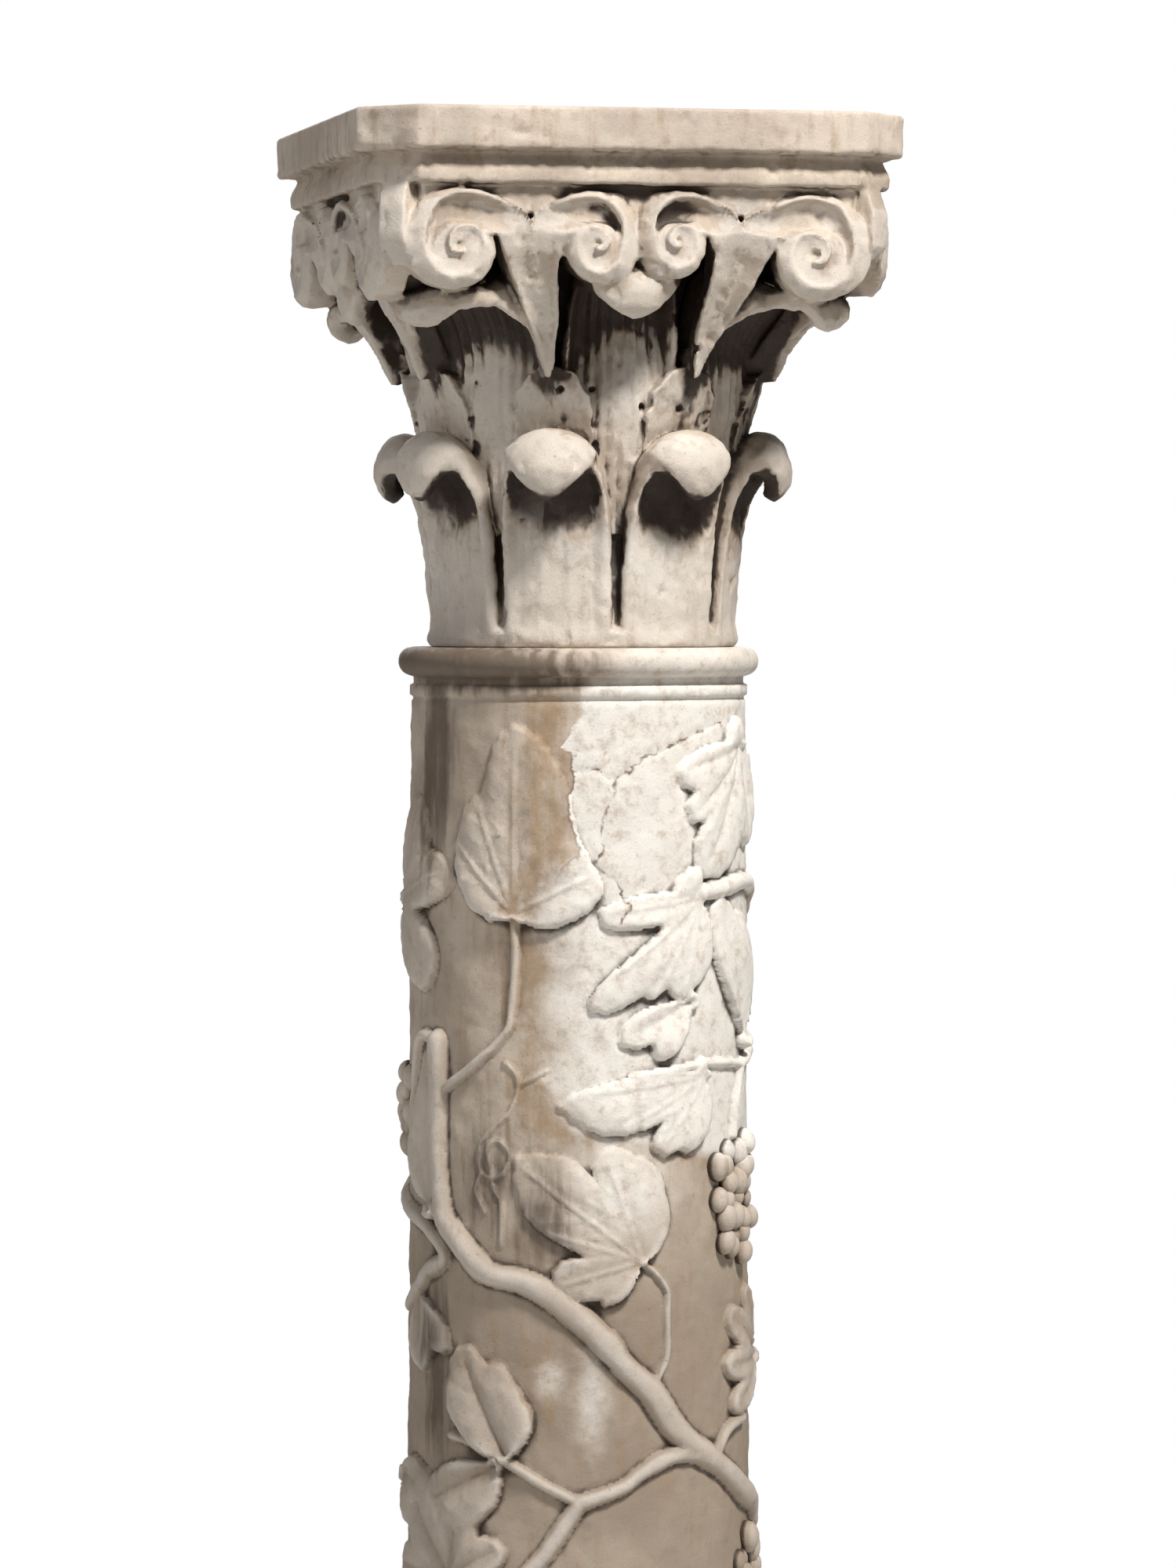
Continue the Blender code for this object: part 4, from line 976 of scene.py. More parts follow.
grape_mesh = bpy.data.meshes.new("grapes")
grape_mesh.from_pydata(grape_points(), [], [])
grapes = new_object("grapes", grape_mesh)
maker = grapes.modifiers.new("Copies", "NODES")
maker.node_group = copies_tree("grapes on points", 5)
set_inputs(maker, {"Radius": GRAPE_RADIUS, "Unevenness": 0.20, "Material": aged_marble})
settled(grapes)
grape_rest = points_of(grapes.data)
grape_azimuth = np.arctan2(grape_rest[:, 0], -grape_rest[:, 1])
from_axis = np.hypot(grape_rest[:, 0], grape_rest[:, 1])
out_of_ground = from_axis - plain_radius(ring_top - grape_rest[:, 2])
for name, grid in grid_masks.items():
    values = sample(grid, grape_azimuth, ring_top - grape_rest[:, 2])
    # Low on each grape, where it meets the ground, the hollow mask paints dirt and shade.
    if name == "hollow":
        values = 1 - smooth_step(0.001, 0.007, out_of_ground)
    if name in ("ridge", "crack"):
        values = 0 * values
    if name == "proud":
        values = smooth_step(0.004, 0.010, out_of_ground)
    set_attribute(grapes.data, name, values)
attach(grapes, "root")
print(len(grape_mesh.vertices), "grapes")

# %% [markdown]
# ## The capital's leaves
# Each leaf of the capital is a tongue of stone that follows a bent spine and hooks over at its tip.
# A grid of points across and along it gives the front face, with its rims, flutes and ribs, and a
# coarser back. The spine is a list of places as (distance from the axis, height above the foot). The
# tall leaves are hollowed deeply under their hoods, which leaves an arched rim on each side.

# %% Tongues of stone
def round_axis(azimuth, radius, height):
    """Points so many radians round the capital's own axis from the middle of its front face."""
    return np.stack(
        [capital_shift + radius * np.sin(azimuth), -radius * np.cos(azimuth), capital_foot + height], axis=-1
    )


BELL_RADIUS = 0.133


def tongue(name, spine, half_widths, thicknesses, carve, droop, along=150, wide=72):
    """A leaf in the middle of the front face: carve(u, v) adds metres to its front, and its hook
    droops by so many metres at its sides, which rounds it into a dome."""
    path = curve_through(spine, 24)
    run = np.concatenate([[0], np.cumsum(np.hypot(*np.diff(path, axis=0).T))])
    v = np.linspace(0, 1, along)
    r = np.interp(v * run[-1], run, path[:, 0])
    z = np.interp(v * run[-1], run, path[:, 1])
    stops = run[::24] / run[-1]
    widths = np.interp(v, stops, half_widths)
    widths = np.convolve(np.pad(widths, 4, mode="edge"), np.ones(9) / 9, mode="valid")
    widths *= np.sqrt(np.clip(1 - np.clip((v - 0.88) / 0.122, 0, 1) ** 2.4, 0.02, 1))
    thick = np.interp(v, stops, thicknesses)
    dr, dz = np.gradient(r), np.gradient(z)
    size = np.hypot(dr, dz)
    out_r, out_z = dz / size, -dr / size
    u = np.linspace(-1, 1, wide)
    side = np.sqrt(np.clip(1 - np.abs(u) ** 8, 0, 1))[None, :]
    front = (0.5 * thick[:, None] + carve(u[None, :], v[:, None])) * side
    back_u = np.linspace(0.96, -0.96, 30)
    round_back = np.sqrt(np.clip(1 - np.abs(back_u) ** 2.4, 0, 1))[None, :]
    hooked = smooth_step(0.70, 0.86, v)[:, None]
    to_bell = np.maximum(0.5 * thick, r - BELL_RADIUS)[:, None] * (1 - hooked)
    back = -to_bell - thick[:, None] * hooked * (0.20 + 0.55 * round_back)
    sag = -droop * smooth_step(0.38, 0.60, v)[:, None] * smooth_step(0.97, 0.72, v)[:, None]
    rings = []
    for spots, lift in ((u, front), (back_u, back)):
        radius = r[:, None] + out_r[:, None] * lift
        height = z[:, None] + out_z[:, None] * lift + sag * np.abs(spots[None, :]) ** 2.2
        azimuth = spots[None, :] * widths[:, None] / r[:, None]
        rings.append(round_axis(azimuth, radius, height))
    return loft(name, np.concatenate(rings, axis=1))


LOWER_SPINE = [(0.132, 0.004), (0.136, 0.060), (0.140, 0.108), (0.145, 0.141), (0.152, 0.160)]
LOWER_SPINE += [(0.161, 0.170), (0.170, 0.168), (0.175, 0.157), (0.174, 0.144), (0.167, 0.134)]
LOWER_WIDTHS = [0.0490, 0.0495, 0.0500, 0.0495, 0.0475, 0.0440, 0.0390, 0.0310, 0.0230, 0.0150]
LOWER_THICKNESS = [0.014, 0.015, 0.017, 0.018, 0.020, 0.021, 0.021, 0.020, 0.017, 0.012]


def plain_flutes(u, v):
    """A dished blade with a raised rim, two fine ribs in a V, and a hollow under the hood."""
    rim = np.exp(-(((np.abs(u) - 0.88) / 0.13) ** 2))
    dish = -0.0042 * (1 - rim) * smooth_step(0.0, 0.10, v)
    spread = 0.10 + 0.20 * (1 - v)
    ribs = np.exp(-(((np.abs(u) - spread) / 0.028) ** 2)) * 0.0012 * smooth_step(0.62, 0.50, v)
    beside = -np.exp(-(((np.abs(u) - 0.66) / 0.05) ** 2)) * 0.0009
    under = -0.0060 * smooth_step(0.38, 0.58, v) * (1 - rim) * smooth_step(0.95, 0.75, v)
    return dish + ribs + beside + under


CORNER_SPINE = [(0.126, 0.100), (0.137, 0.187), (0.149, 0.229), (0.165, 0.262), (0.188, 0.290)]
CORNER_SPINE += [(0.214, 0.303), (0.236, 0.304), (0.2495, 0.299), (0.252, 0.291), (0.246, 0.284)]
CORNER_WIDTHS = [0.050, 0.053, 0.058, 0.064, 0.067, 0.061, 0.052, 0.044, 0.039, 0.030]
CORNER_THICKNESS = [0.016, 0.017, 0.018, 0.021, 0.022, 0.020, 0.019, 0.019, 0.018, 0.014]
FACE_SPINE = [(0.126, 0.100), (0.137, 0.187), (0.146, 0.235), (0.155, 0.275), (0.164, 0.307)]
FACE_SPINE += [(0.174, 0.324), (0.190, 0.325), (0.203, 0.315), (0.205, 0.301), (0.198, 0.290)]
FACE_WIDTHS = [0.050, 0.052, 0.053, 0.053, 0.050, 0.047, 0.046, 0.043, 0.032, 0.014]
FACE_THICKNESS = [0.016, 0.017, 0.018, 0.020, 0.021, 0.023, 0.025, 0.026, 0.021, 0.013]


def deep_ribs(u, v):
    """Flutes that rise and fan out into a deep hollow, with a rib up the middle and a stout rim."""
    inside = 1 - smooth_step(0.74, 0.90, np.abs(u))
    hollow = -0.0270 * smooth_step(0.36, 0.66, v) * smooth_step(0.94, 0.80, v) * inside
    fan = u * (5.5 - 1.0 * v) + 0.05 * np.sin(9 * v)
    wave = np.abs((fan % 1) - 0.5) * 2
    flutes = -(0.0020 + 0.0030 * smooth_step(0.28, 0.6, v)) * wave**1.8 * inside
    fine = -0.0007 * (0.5 + 0.5 * np.cos(fan * math.tau * 3)) * inside
    middle = 0.0024 * np.exp(-((u / 0.040) ** 2)) * smooth_step(0.2, 0.4, v) * smooth_step(0.8, 0.6, v)
    return hollow + flutes + fine + middle


# %% [markdown]
# ## Calyx plates
# Where a stalk grows out between two tall leaves, a thin plate with a scalloped upper edge lies over
# both. It is a patch of grid that stands just proud of the leaves inside its outline and dives under
# their surface outside it, so only the outline shows once the stone is run together.

# %% Calyx plates
def calyx():
    across_plate = np.linspace(-0.040, 0.040, 74)
    up_plate = np.linspace(0.165, 0.262, 80)
    s, z = np.meshgrid(across_plate, up_plate)
    turn_up = np.arctan2(z - 0.200, s)
    teeth = 0.0030 * np.abs(np.sin(turn_up * 4.5)) + 0.0012 * np.sin(turn_up * 13)
    dome = 0.0335 * np.sqrt(np.clip(1 - np.clip((z - 0.200) / 0.047, 0, 1) ** 2.2, 0, 1)) + teeth
    inside = (dome - np.abs(s)) / 0.0016
    lip = 0.0011 * np.exp(-((inside - 1.2) ** 2) / 0.8)
    flutes = -0.0008 * (0.5 + 0.5 * np.cos(s * math.tau / 0.0085)) * smooth_step(1, 4, inside)
    surface = np.interp(z, [0.165, 0.187, 0.210, 0.235, 0.262], [0.1425, 0.1475, 0.1535, 0.1610, 0.1700])
    lift = np.where(inside > 0, 0.0008 + lip + flutes, -0.036)
    front = round_axis(s / surface, surface + lift, z)
    back = round_axis(s[:, ::-1] / surface, surface - 0.040, z)
    return loft("calyx", np.concatenate([front, back], axis=1))


# %% [markdown]
# ## Scrolls
# Under the slab each face has four scrolls in two pairs. A pair grows from one flat stalk, which
# forks: each band runs up from the fork, over the top, and winds inwards to a small eye. A band is a
# loft of cross sections from its outer edge to its inner edge, with a thin raised rim, a shallow
# channel that fades into the flat disc, and a bevel that slopes back round the outside. The radius
# of the outer edge is read from a short table of angles: 0 degrees points at the fork, 90 straight up.

# %% Scrolls and stalks
def on_face(offset, depth, height):
    """Points seen from the front face: metres to its right, metres out of the axis, metres up."""
    return np.stack([capital_shift + offset, -depth, capital_foot + height], axis=-1)


SCROLL_PLANE = 0.231
OUTER_EDGE = {
    "outer": [(24, 70), (36, 62), (50, 56), (65, 52.5), (90, 50), (115, 48), (135, 42), (158, 37)]
    + [(180, 34.5)]
    + [(200, 33.5), (240, 31), (288, 28), (338, 24.5), (400, 22.5), (435, 20), (460, 17.5), (484, 15)]
    + [(521, 12.3), (564, 10.2), (620, 8.2), (670, 6.5)],
    "inner": [(22, 61), (36, 53), (50, 48), (70, 44), (90, 41), (115, 35.5), (140, 28), (165, 22.5)]
    + [(190, 21.5)]
    + [(225, 23.5), (266, 25.5), (310, 22.5), (364, 18.5), (400, 17.5), (435, 15.5), (460, 13), (484, 11.5)]
    + [(521, 9.8), (564, 8.4), (620, 6.8), (670, 5)],
}
BEVEL = {
    "outer": [(60, 0.5), (90, 1.5), (115, 4), (135, 10), (158, 14), (185, 16), (215, 12), (245, 9)]
    + [(290, 9), (400, 9)],
    "inner": [(60, 0.5), (90, 2), (115, 9), (140, 19), (165, 16), (190, 15), (225, 13), (266, 7)]
    + [(310, 7), (400, 8)],
}
SCROLLS = [("outer", -1, -0.1590, 0.3460, 0.96), ("inner", -1, -0.0370, 0.3490, 1.03)]
SCROLLS += [("inner", 1, 0.0330, 0.3520, 0.98), ("outer", 1, 0.1570, 0.3410, 1.02)]
STALK_MIDDLE = [(0.066, 0.163, 0.236), (0.070, 0.174, 0.262), (0.078, 0.190, 0.290), (0.087, 0.206, 0.318)]
STALK_MIDDLE += [(0.093, 0.220, 0.342), (0.094, 0.228, 0.360)]
STALK_HALF = [0.0022, 0.0070, 0.0150, 0.0200, 0.0255, 0.0320]


def table(angle, rows):
    return np.interp(angle, [a for a, _ in rows], [r for _, r in rows]) / 1000


def scroll(kind, pair, eye_u, eye_z, size):
    """One band from the foot of its stalk to its eye; pair is -1 for the stalk left of the middle."""
    toward_fork = pair if kind == "inner" else -pair
    sections = []
    middle = curve_through(STALK_MIDDLE, 5)
    halves = np.interp(np.linspace(0, 1, len(middle)), np.linspace(0, 1, len(STALK_HALF)), STALK_HALF)
    for (u, depth, z), half in zip(middle, halves):
        outer_point = np.array([pair * u + 0.0012 * toward_fork, z])
        inner_point = np.array([pair * u - toward_fork * half, z - 0.10 * half])
        sections.append((outer_point, inner_point, 0.0, 0.0042, depth, 0.0))
    for angle in np.arange(26, 672, 6.0):
        theta = math.radians(angle)
        way = np.array([toward_fork * math.cos(theta), math.sin(theta)])
        outside = size * table(angle, OUTER_EDGE[kind])
        inside = size * table(angle + 360, OUTER_EDGE[kind]) if angle < 310 else 0.25 * outside
        eye = np.array([eye_u, eye_z])
        channel = 0.0070 * smooth_step(225, 120, angle) + 0.0026 * smooth_step(650, 560, angle)
        bevel = size * table(angle, BEVEL[kind]) * smooth_step(430, 395, angle)
        depth = SCROLL_PLANE + 0.0015 * smooth_step(20, 120, angle) + 0.0022 * smooth_step(380, 480, angle)
        opening = smooth_step(26, 56, angle)
        sections.append((eye + way * outside, eye + way * inside, bevel, channel, depth, opening))
    rings = []
    for outer_point, inner_point, bevel, channel, depth, forked in sections:
        across_band = inner_point - outer_point
        span = max(np.linalg.norm(across_band), 1e-6)
        unit = across_band / span
        share = np.array([0.0, 0.04, 0.10, 0.17, 0.26, 0.40, 0.55, 0.70, 0.84, 0.94, 1.0])
        dip = forked * np.array([0.10, 0.0, 0.04, 0.40, 0.75, 0.95, 1.0, 1.0, 0.98, 0.95, 1.0])
        dip += (1 - forked) * np.array([1.0, 1.0, 1.0, 1.0, 1.0, 0.95, 0.85, 0.60, 0.15, 0.0, 0.3])
        shallow = min(1.0, span / 0.016)
        places = [outer_point - unit * bevel - unit * 0.0005] + [outer_point + across_band * t for t in share]
        places += [inner_point, inner_point, outer_point - unit * bevel]
        depths = [depth - 0.50 * bevel - 0.003] + [depth - channel * d * shallow for d in dip]
        depths += [depth - 0.013, depth - 0.034, depth - 0.034]
        flat = np.array(places)
        rings.append(on_face(flat[:, 0], np.array(depths), flat[:, 1]))
    return loft(kind + " scroll", np.array(rings))


def scroll_backing(kind, pair, eye_u, eye_z, size):
    """A flaring drum behind the coil, which carries it from the bell."""
    turn_by = np.linspace(0, math.tau, 48, endpoint=False)
    middle_radius = (0.024 if kind == "outer" else 0.019) * size
    rings = [
        on_face(eye_u + swell * np.cos(turn_by), np.full(48, depth), eye_z - 0.002 + swell * np.sin(turn_by))
        for swell, depth in (
            (middle_radius, 0.229), (middle_radius * 1.18, 0.205), (middle_radius * 1.15, 0.160)
        )
    ]
    return loft(kind + " backing", np.array(rings))


def corner_strip():
    """The narrow upright face between the scrolls of two neighbouring faces."""
    far, half = 0.308, 0.0130
    rings = []
    for height, near in ((0.318, 0.80), (0.330, 0.96), (0.350, 1.0), (0.380, 1.0), (0.4015, 0.975)):
        reach = far * near
        sideways = np.array([-half, half, half * 1.6, -half * 1.6])
        outwards = np.array([reach, reach, 0.24, 0.24])
        u = (outwards - sideways) / math.sqrt(2)
        depth = (outwards + sideways) / math.sqrt(2)
        rings.append(on_face(u, depth, np.full(4, height)))
    return loft("corner strip", np.array(rings))


# %% [markdown]
# ## Bell and slab
# Behind the leaves is a plain bell, and on top is the slab: a square with its corners cut off. Under
# its edge runs a hollow moulding. Both are lofts of a few rings, because their outline does not
# change on the way round.

# %% Bell and slab
def bell():
    outline = [(0.1375, 0.0), (0.1385, 0.012), (0.130, 0.022), (0.127, 0.10), (0.129, 0.165), (0.132, 0.20)]
    outline += [(0.134, 0.25), (0.138, 0.30), (0.147, 0.34), (0.165, 0.358), (0.198, 0.368), (0.207, 0.372)]
    outline += [(0.213, 0.404)]
    turn_by = np.linspace(0, math.tau, 160, endpoint=False)
    rings = [round_axis(turn_by, np.full(160, r), np.full(160, z)) for r, z in outline]
    return loft("bell", np.array(rings))


SLAB_CUT = 0.0457
SLAB_UNDER = 0.400
SLAB_STEP = 0.429
SLAB_PROFILE = [
    (SLAB_UNDER, 0.0150), (SLAB_UNDER + 0.0015, 0.0122), (SLAB_UNDER + 0.003, 0.0116),
    (SLAB_UNDER + 0.010, 0.0120), (SLAB_UNDER + 0.016, 0.0138), (SLAB_UNDER + 0.021, 0.0162),
    (SLAB_UNDER + 0.025, 0.0175),
    (SLAB_STEP - 0.0015, 0.0170), (SLAB_STEP, 0.0022), (SLAB_STEP + 0.0015, 0.0006),
    (SLAB_STEP + 0.004, 0.0), (capital_height - 0.004, 0.0), (capital_height - 0.001, 0.0008),
    (capital_height, 0.003),
]


def slab_ring(inset, height):
    """The eight-sided outline at one height, with points about 4 mm apart."""
    half, near = slab_half - inset, slab_half - SLAB_CUT
    near -= 0.4 * inset
    corners = np.array([(near, -half), (half, -near), (half, near), (near, half)]
        + [(-near, half), (-half, near)])
    corners = np.vstack([corners, [(-half, -near), (-near, -half)]])
    points = []
    for a, b in zip(corners, np.roll(corners, -1, axis=0)):
        share = np.linspace(0, 1, 100 if np.hypot(*(b - a)) > 0.1 else 16, endpoint=False)[:, None]
        points.append(a + (b - a) * share)
    flat = np.vstack(points)
    heights = np.full(len(flat), capital_foot + height)
    return np.column_stack([flat[:, 0] + capital_shift, flat[:, 1], heights])


def slab():
    return loft("slab", np.array([slab_ring(inset, height) for height, inset in SLAB_PROFILE]))


def slab_bed():
    """The block of stone left behind the scrolls, which carries the slab."""
    insets_and_heights = ((0.040, 0.366), (0.0225, 0.376), (0.0205, 0.404))
    return loft("slab bed", np.array([slab_ring(*one) for one in insets_and_heights]))


# %% [markdown]
# ## Copies round the axis
# Eight lower leaves, four corner leaves, four face leaves and four sets of scrolls are each one shape
# turned round the capital's axis. A Geometry Nodes tree makes the ring: a line of points without
# length, an instance on each, turned by its index, then realised into one plain mesh.

# %% Ring of copies
def ring_tree():
    tree = bpy.data.node_groups.new("ring of copies", "GeometryNodeTree")
    face = tree.interface
    face.new_socket("Shape", in_out="INPUT", socket_type="NodeSocketGeometry")
    face.new_socket("Count", in_out="INPUT", socket_type="NodeSocketInt")
    face.new_socket("First angle", in_out="INPUT", socket_type="NodeSocketFloat")
    face.new_socket("Axis offset", in_out="INPUT", socket_type="NodeSocketFloat")
    face.new_socket("Material", in_out="INPUT", socket_type="NodeSocketMaterial")
    face.new_socket("Ring", in_out="OUTPUT", socket_type="NodeSocketGeometry")
    given = add(tree, "NodeGroupInput").outputs
    to_axis = add(tree, "ShaderNodeMath", {0: given["Axis offset"], 1: -1.0}, operation="MULTIPLY").outputs[0]
    back = add(tree, "ShaderNodeCombineXYZ", {"X": to_axis}).outputs[0]
    forth = add(tree, "ShaderNodeCombineXYZ", {"X": given["Axis offset"]}).outputs[0]
    centred = add(tree, "GeometryNodeTransform", {"Geometry": given["Shape"], "Translation": back})
    line = add(tree, "GeometryNodeMeshLine", {"Count": given["Count"]})
    line.inputs["Offset"].default_value = (0, 0, 0)
    index = add(tree, "GeometryNodeInputIndex").outputs[0]
    step = add(tree, "ShaderNodeMath", {0: math.tau, 1: given["Count"]}, operation="DIVIDE").outputs[0]
    around = add(tree, "ShaderNodeMath", {0: index, 1: step}, operation="MULTIPLY").outputs[0]
    angle = add(tree, "ShaderNodeMath", {0: around, 1: given["First angle"]}, operation="ADD").outputs[0]
    turned = add(tree, "ShaderNodeCombineXYZ", {"Z": angle}).outputs[0]
    copies = add(
        tree,
        "GeometryNodeInstanceOnPoints",
        {"Points": line.outputs[0], "Instance": centred.outputs[0], "Rotation": turned},
    )
    placed = add(tree, "GeometryNodeTransform", {"Geometry": copies.outputs[0], "Translation": forth})
    real = add(tree, "GeometryNodeRealizeInstances", {"Geometry": placed.outputs[0]})
    finish = {"Geometry": real.outputs[0], "Material": given["Material"]}
    painted = add(tree, "GeometryNodeSetMaterial", finish)
    add(tree, "NodeGroupOutput", {"Ring": painted.outputs[0]})
    return tree


round_the_axis = ring_tree()
capital_marble = marble("weathered white marble, capital")


def ring_of(mesh, count, first_degrees):
    """The points and faces of count copies of a mesh, turned round the capital's axis."""
    thing = new_object(mesh.name + " ring", mesh)
    copier = thing.modifiers.new("Ring", "NODES")
    copier.node_group = round_the_axis
    settings = {"Count": count, "First angle": math.radians(first_degrees)}
    set_inputs(copier, settings | {"Axis offset": capital_shift, "Material": capital_marble})
    settled(thing)
    made = thing.data
    bpy.data.objects.remove(thing, do_unlink=True)
    print(mesh.name, "x", count)
    return made


rings = [bell(), slab(), slab_bed()]
lower_leaf = tongue("lower leaf", LOWER_SPINE, LOWER_WIDTHS, LOWER_THICKNESS, plain_flutes, 0.020)
rings.append(ring_of(lower_leaf, 8, 22.5))
corner_leaf = tongue("corner leaf", CORNER_SPINE, CORNER_WIDTHS, CORNER_THICKNESS, deep_ribs, 0.010)
rings.append(ring_of(corner_leaf, 4, 45))
face_leaf = tongue("face leaf", FACE_SPINE, FACE_WIDTHS, FACE_THICKNESS, deep_ribs, 0.008)
rings.append(ring_of(face_leaf, 4, 0))
rings.append(ring_of(calyx(), 8, 22.5))
rings.append(ring_of(corner_strip(), 4, 0))
for one in SCROLLS:
    rings.append(ring_of(scroll(*one), 4, 0))
    rings.append(ring_of(scroll_backing(*one), 4, 0))

# %% [markdown]
# ## One stone
# The capital is a single block, so the overlapping shapes are run together with a voxel remesh, which
# keeps only the outer skin and leaves soft, worn arrises. A little noise along the normals stands
# for tool marks, chips and weather. Then flat places are thinned.

# %% Carve the capital as one stone
VOXEL = 0.0017
DRILLED = [(-19.5, 0.226, 0.157), (-9.5, 0.2265, 0.158), (8.0, 0.2115, 0.154), (20.5, 0.2615, 0.174)]
DRILLED += [(37.0, 0.2225, 0.158), (21.0, 0.2095, 0.155), (-52.0, 0.233, 0.160), (70.0, 0.224, 0.158)]
DRILLED += [(112.0, 0.228, 0.158), (160.0, 0.215, 0.156), (-110.0, 0.222, 0.158), (-160.0, 0.231, 0.160)]


def drill_marks(spots):
    """One inside a drill hole 5 mm wide, and nothing outside it. Rows are degrees, height and radius."""
    depth = np.zeros(len(spots))
    for azimuth, height, radius in DRILLED:
        centre = round_axis(math.radians(azimuth), radius, height)
        out = np.array([math.sin(math.radians(azimuth)), -math.cos(math.radians(azimuth)), 0])
        away = spots - centre
        aside = np.linalg.norm(away - np.outer(away @ out, out), axis=1)
        near = np.abs(away @ out) < 0.030
        depth = np.maximum(depth, smooth_step(0.0036, 0.0018, aside) * near)
    return depth


capital = run_together("carved_capital", rings, VOXEL)
points = points_of(capital.data)
normals = normals_of(capital.data)
heights = points[:, 2] - capital_foot
waves = 0.00040 * wavy(points, 0.045, 21) + 0.00025 * wavy(points, 0.013, 22)
chips = -0.0016 * smooth_step(1.3, 2.4, wavy(points, 0.030, 23))
drilled = drill_marks(points)
clear_of_foot = smooth_step(0.0, 0.006, heights)
clear_of_top = smooth_step(capital_height, capital_height - 0.004, heights)
points += normals * ((waves + chips - 0.0045 * drilled) * clear_of_foot * clear_of_top)[:, None]
move_points(capital, points)
thinned(capital, PIECE_TRIANGLES)
keep_inside(capital, "capital")

# %% [markdown]
# ## Where dirt gathers and shade is painted
# Rain and hands never reach the deep hollows between the leaves, so dirt stays there, and there and under
# the hoods and slab the colour is also darkened as painted shade. How closed in a point is can be measured:
# rays go out from it in a dozen directions, and the share that soon hits stone is its mask. The same rays
# drawn short find the exposed edges.

# %% Hollow and ridge masks by rays
def closed_in(mesh, reach, count, seed):
    """For each point, the share of rays in front of it that hit stone within reach."""
    tree = BVHTree.FromPolygons([v.co for v in mesh.vertices], [tuple(p.vertices) for p in mesh.polygons])
    dice = np.random.default_rng(seed)
    ways = dice.normal(size=(count, 3))
    ways /= np.linalg.norm(ways, axis=1)[:, None]
    spots, faces_out = points_of(mesh), normals_of(mesh)
    hits = np.zeros(len(spots))
    for way in ways:
        bent = faces_out * 1.05 + way
        bent /= np.linalg.norm(bent, axis=1)[:, None]
        starts = spots + faces_out * 0.0008
        for i in range(len(spots)):
            place, _, _, far = tree.ray_cast(starts[i], bent[i], reach)
            if place is not None:
                hits[i] += 1 - 0.5 * far / reach
    return hits / count


def sheltered(mesh, reach, count, seed):
    """For each point, the share of rays up and outwards that hit stone: rain never washes it there, and it is
    painted darker as shade.
    """
    tree = BVHTree.FromPolygons([v.co for v in mesh.vertices], [tuple(p.vertices) for p in mesh.polygons])
    dice = np.random.default_rng(seed)
    spots, faces_out = points_of(mesh), normals_of(mesh)
    away = spots - np.array([capital_shift, 0, 0])
    away[:, 2] = 0
    away /= np.linalg.norm(away, axis=1)[:, None]
    starts = spots + faces_out * 0.0008
    hits = np.zeros(len(spots))
    for _ in range(count):
        ways = away * dice.uniform(0.15, 0.75) + np.array([0, 0, 1]) + dice.normal(scale=0.30, size=3)
        ways /= np.linalg.norm(ways, axis=1)[:, None]
        for i in range(len(spots)):
            place, _, _, far = tree.ray_cast(starts[i], ways[i], reach)
            if place is not None:
                hits[i] += 1 - 0.6 * far / reach
    return hits / count


shut = closed_in(capital.data, 0.075, 10, 31)
shelter_dirt_and_shade = sheltered(capital.data, 0.075, 8, 32)
capital_points = points_of(capital.data)
capital_normals = normals_of(capital.data)
capital_azimuth = np.arctan2(capital_points[:, 0] - capital_shift, -capital_points[:, 1])
capital_height_at = capital_points[:, 2] - capital_foot


def capital_oval(azimuth, height, half_azimuth, half_height):
    """A soft oval on the capital, by degrees round it and metres up it."""
    aside = (np.degrees(capital_azimuth) - azimuth + 180) % 360 - 180
    away = np.hypot(aside / half_azimuth, (capital_height_at - height) / half_height)
    return np.clip(1.25 - 0.75 * away, 0, 1)


# Faces turned downwards on the slab are darkened through the soot mask: painted shade under its edge.
under = smooth_step(-0.2, -0.8, capital_normals[:, 2])
holes = drill_marks(capital_points)
on_slab = smooth_step(0.397, 0.404, capital_height_at)
from_axis_here = np.hypot(capital_points[:, 0] - capital_shift, capital_points[:, 1])
LEAF_HEIGHTS = [0.20, 0.236, 0.262, 0.290, 0.318, 0.342]
LEAF_RADII = [0.16, 0.167, 0.178, 0.194, 0.211, 0.225]
clear_by = from_axis_here - np.interp(capital_height_at, LEAF_HEIGHTS, LEAF_RADII)
stands_clear = smooth_step(0.0, 0.008, clear_by) * smooth_step(0.215, 0.235, capital_height_at)
shelter_dirt_and_shade = shelter_dirt_and_shade * (1 - 0.75 * stands_clear)
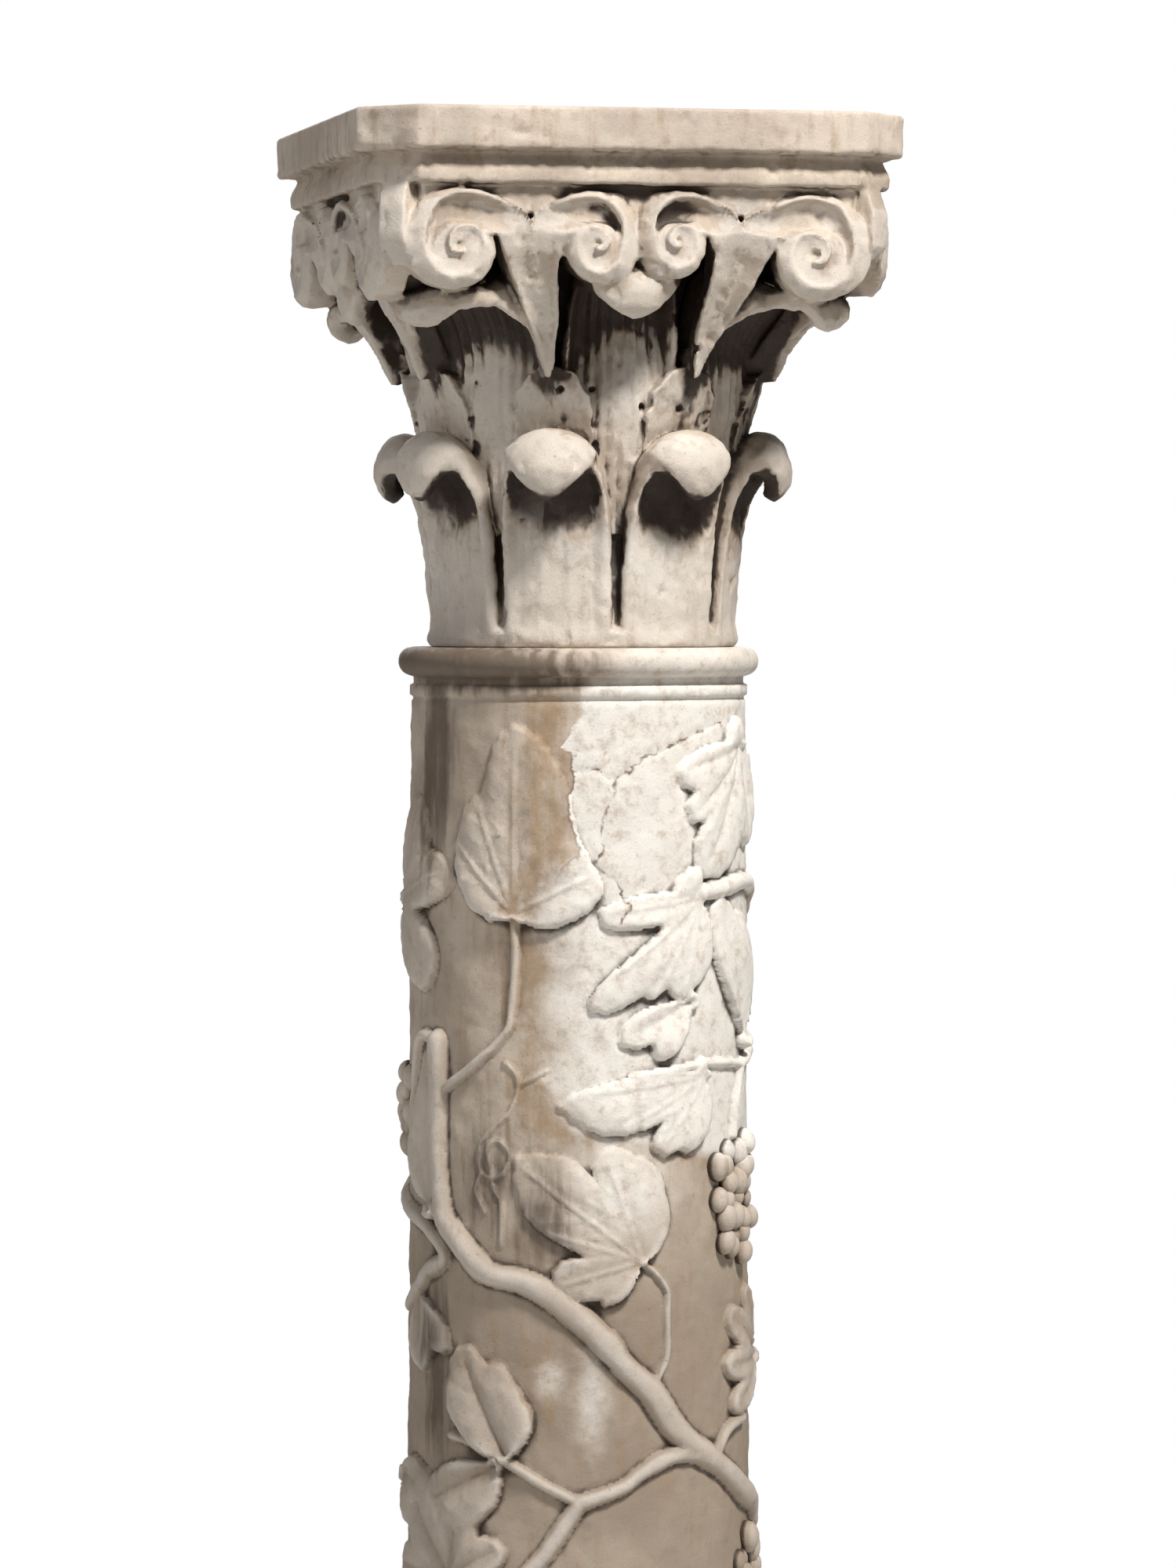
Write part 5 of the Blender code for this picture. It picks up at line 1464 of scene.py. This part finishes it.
# Deep hollows, drill holes and places under the hoods get dirt and painted shade through the hollow and soot
# masks.
deep = smooth_step(0.25, 0.60, 0.55 * shut + 0.60 * shelter_dirt_and_shade)
blade = smooth_step(0.150, 0.120, capital_height_at) * smooth_step(0.02, 0.10, capital_height_at)
pale = 0.06 + 0.16 * blade + 0.30 * capital_oval(14, 0.215, 40, 0.030)
pale = pale + 0.30 * capital_oval(8, 0.06, 34, 0.05)
pale = np.maximum(pale, 0.22 + 0.35 * capital_oval(-120, 0.08, 40, 0.05))
capital_masks = {
    "hollow": np.maximum(deep * (1 - 0.6 * on_slab), holes),
    "ridge": smooth_step(0.16, 0.0, shut) * (1 - 0.7 * on_slab),
    "proud": 0.15 + 0.45 * smooth_step(0.30, 0.05, shut),
    "bright": pale * (1 - on_slab),
    "stain": np.maximum(0.95 * smooth_step(0.20, 0.65, shelter_dirt_and_shade), 0.42 * blade) * (1 - on_slab) + 0.25 * on_slab,
    "soot_and_shade": 1.05 * smooth_step(0.32, 0.75, shelter_dirt_and_shade) * (1 - on_slab) + 0.45 * under * on_slab,
    "crack": 0 * shut,
    "low": 0 * shut,
}
for name, values in capital_masks.items():
    set_attribute(capital.data, name, values)
give_finish(capital, capital_marble)
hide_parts("capital")
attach(capital, "root")

# %% [markdown]
# ## The base
# The base is out of the picture, so it is finished plainly in the same manner: a square plinth and two
# rolls with a hollow between them, with the wear that a foot gets. It is made like the shaft, as a
# turned outline on a fine grid, over a plinth with rounded arrises.

# %% Base
PLINTH_TOP = 0.052


def base_mouldings():
    rest = base_height - PLINTH_TOP
    lower_roll, upper_roll, fillet = 0.36 * rest, 0.24 * rest, 0.05 * rest
    top_fillet = 0.07 * rest
    upper_centre = base_height - top_fillet - upper_roll / 2
    lower_centre = PLINTH_TOP + lower_roll / 2
    hollow_top, hollow_foot = upper_centre - upper_roll / 2, lower_centre + lower_roll / 2
    neck, upper_reach, lower_reach = 0.170, 0.184, 0.206
    outline = [(neck, base_height), (neck, base_height - top_fillet)]
    turns = np.radians(np.linspace(80, -80, 14))

    def roll(reach, centre, thick):
        half_round = zip(np.cos(turns), np.sin(turns))
        return [(reach - thick / 2 + thick / 2 * c, centre + thick / 2 * s) for c, s in half_round]

    outline += roll(upper_reach, upper_centre, upper_roll)
    outline += [(neck + 0.008, hollow_top), (neck + 0.008, hollow_top - fillet)]
    sweep = np.linspace(0, math.pi, 12)
    depth_top, depth_foot = hollow_top - fillet, hollow_foot + fillet
    for s in sweep:
        radius = neck + 0.0125 - 0.0125 * math.sin(s) - 0.0045 * math.cos(s)
        outline.append((radius, depth_top + (depth_foot - depth_top) * s / math.pi))
    outline += [(neck + 0.017, hollow_foot + fillet), (neck + 0.017, hollow_foot)]
    outline += roll(lower_reach, lower_centre, lower_roll)
    outline += [(neck, PLINTH_TOP - 0.012)]
    turn_by = np.linspace(0, math.tau, 256, endpoint=False)
    east, north = np.sin(turn_by), -np.cos(turn_by)
    rings = [np.column_stack([r * east, r * north, np.full(256, z)]) for r, z in outline[::-1]]
    return loft("base mouldings", np.array(rings))


def plinth():
    half, soft = plinth_half, 0.004
    corners = []
    for quarter in range(4):
        for part in range(7):
            a = math.radians(-90 + 90 * quarter + 15 * part)
            sx = (1, 1, -1, -1)[quarter]
            sy = (-1, 1, 1, -1)[quarter]
            corners.append((sx * (half - soft) + soft * math.cos(a), sy * (half - soft) + soft * math.sin(a)))
    flat = np.array(corners)
    rings = []
    levels = [(0.003, 0.0), (0.0, 0.003), (0.0, PLINTH_TOP - 0.004), (0.0012, PLINTH_TOP - 0.001)]
    for inset, z in levels + [(0.004, PLINTH_TOP)]:
        rings.append(np.column_stack([flat * (1 - inset / half), np.full(len(flat), z)]))
    return loft("plinth", np.array(rings))


base = run_together("moulded_base", [base_mouldings(), plinth()], 0.0030)
points, normals = points_of(base.data), normals_of(base.data)
wear = 0.0005 * wavy(points, 0.060, 41) - 0.0022 * smooth_step(1.2, 2.4, wavy(points, 0.035, 42))
heights = points[:, 2]
keep_flat = smooth_step(0.0, 0.006, heights) * smooth_step(base_height, base_height - 0.004, heights)
points += normals * (wear * keep_flat)[:, None]
move_points(base, points)
thinned(base, 90000)
keep_inside(base, "base")
shut = closed_in(base.data, 0.05, 6, 43)
# The hollow mask darkens the base's recesses with dirt and painted shade.
set_attribute(base.data, "hollow", smooth_step(0.35, 0.9, shut) * 0.8)
set_attribute(base.data, "ridge", smooth_step(0.14, 0.0, shut))
levels = {"bright": 0.22, "stain": 0.2, "soot_and_shade": 0.2, "crack": 0.0, "low": 0.8, "proud": 0.4}
for name, level in levels.items():
    set_attribute(base.data, name, np.full(len(base.data.vertices), level))
give_finish(base, marble("weathered white marble, base"))
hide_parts("base")
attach(base, "root")
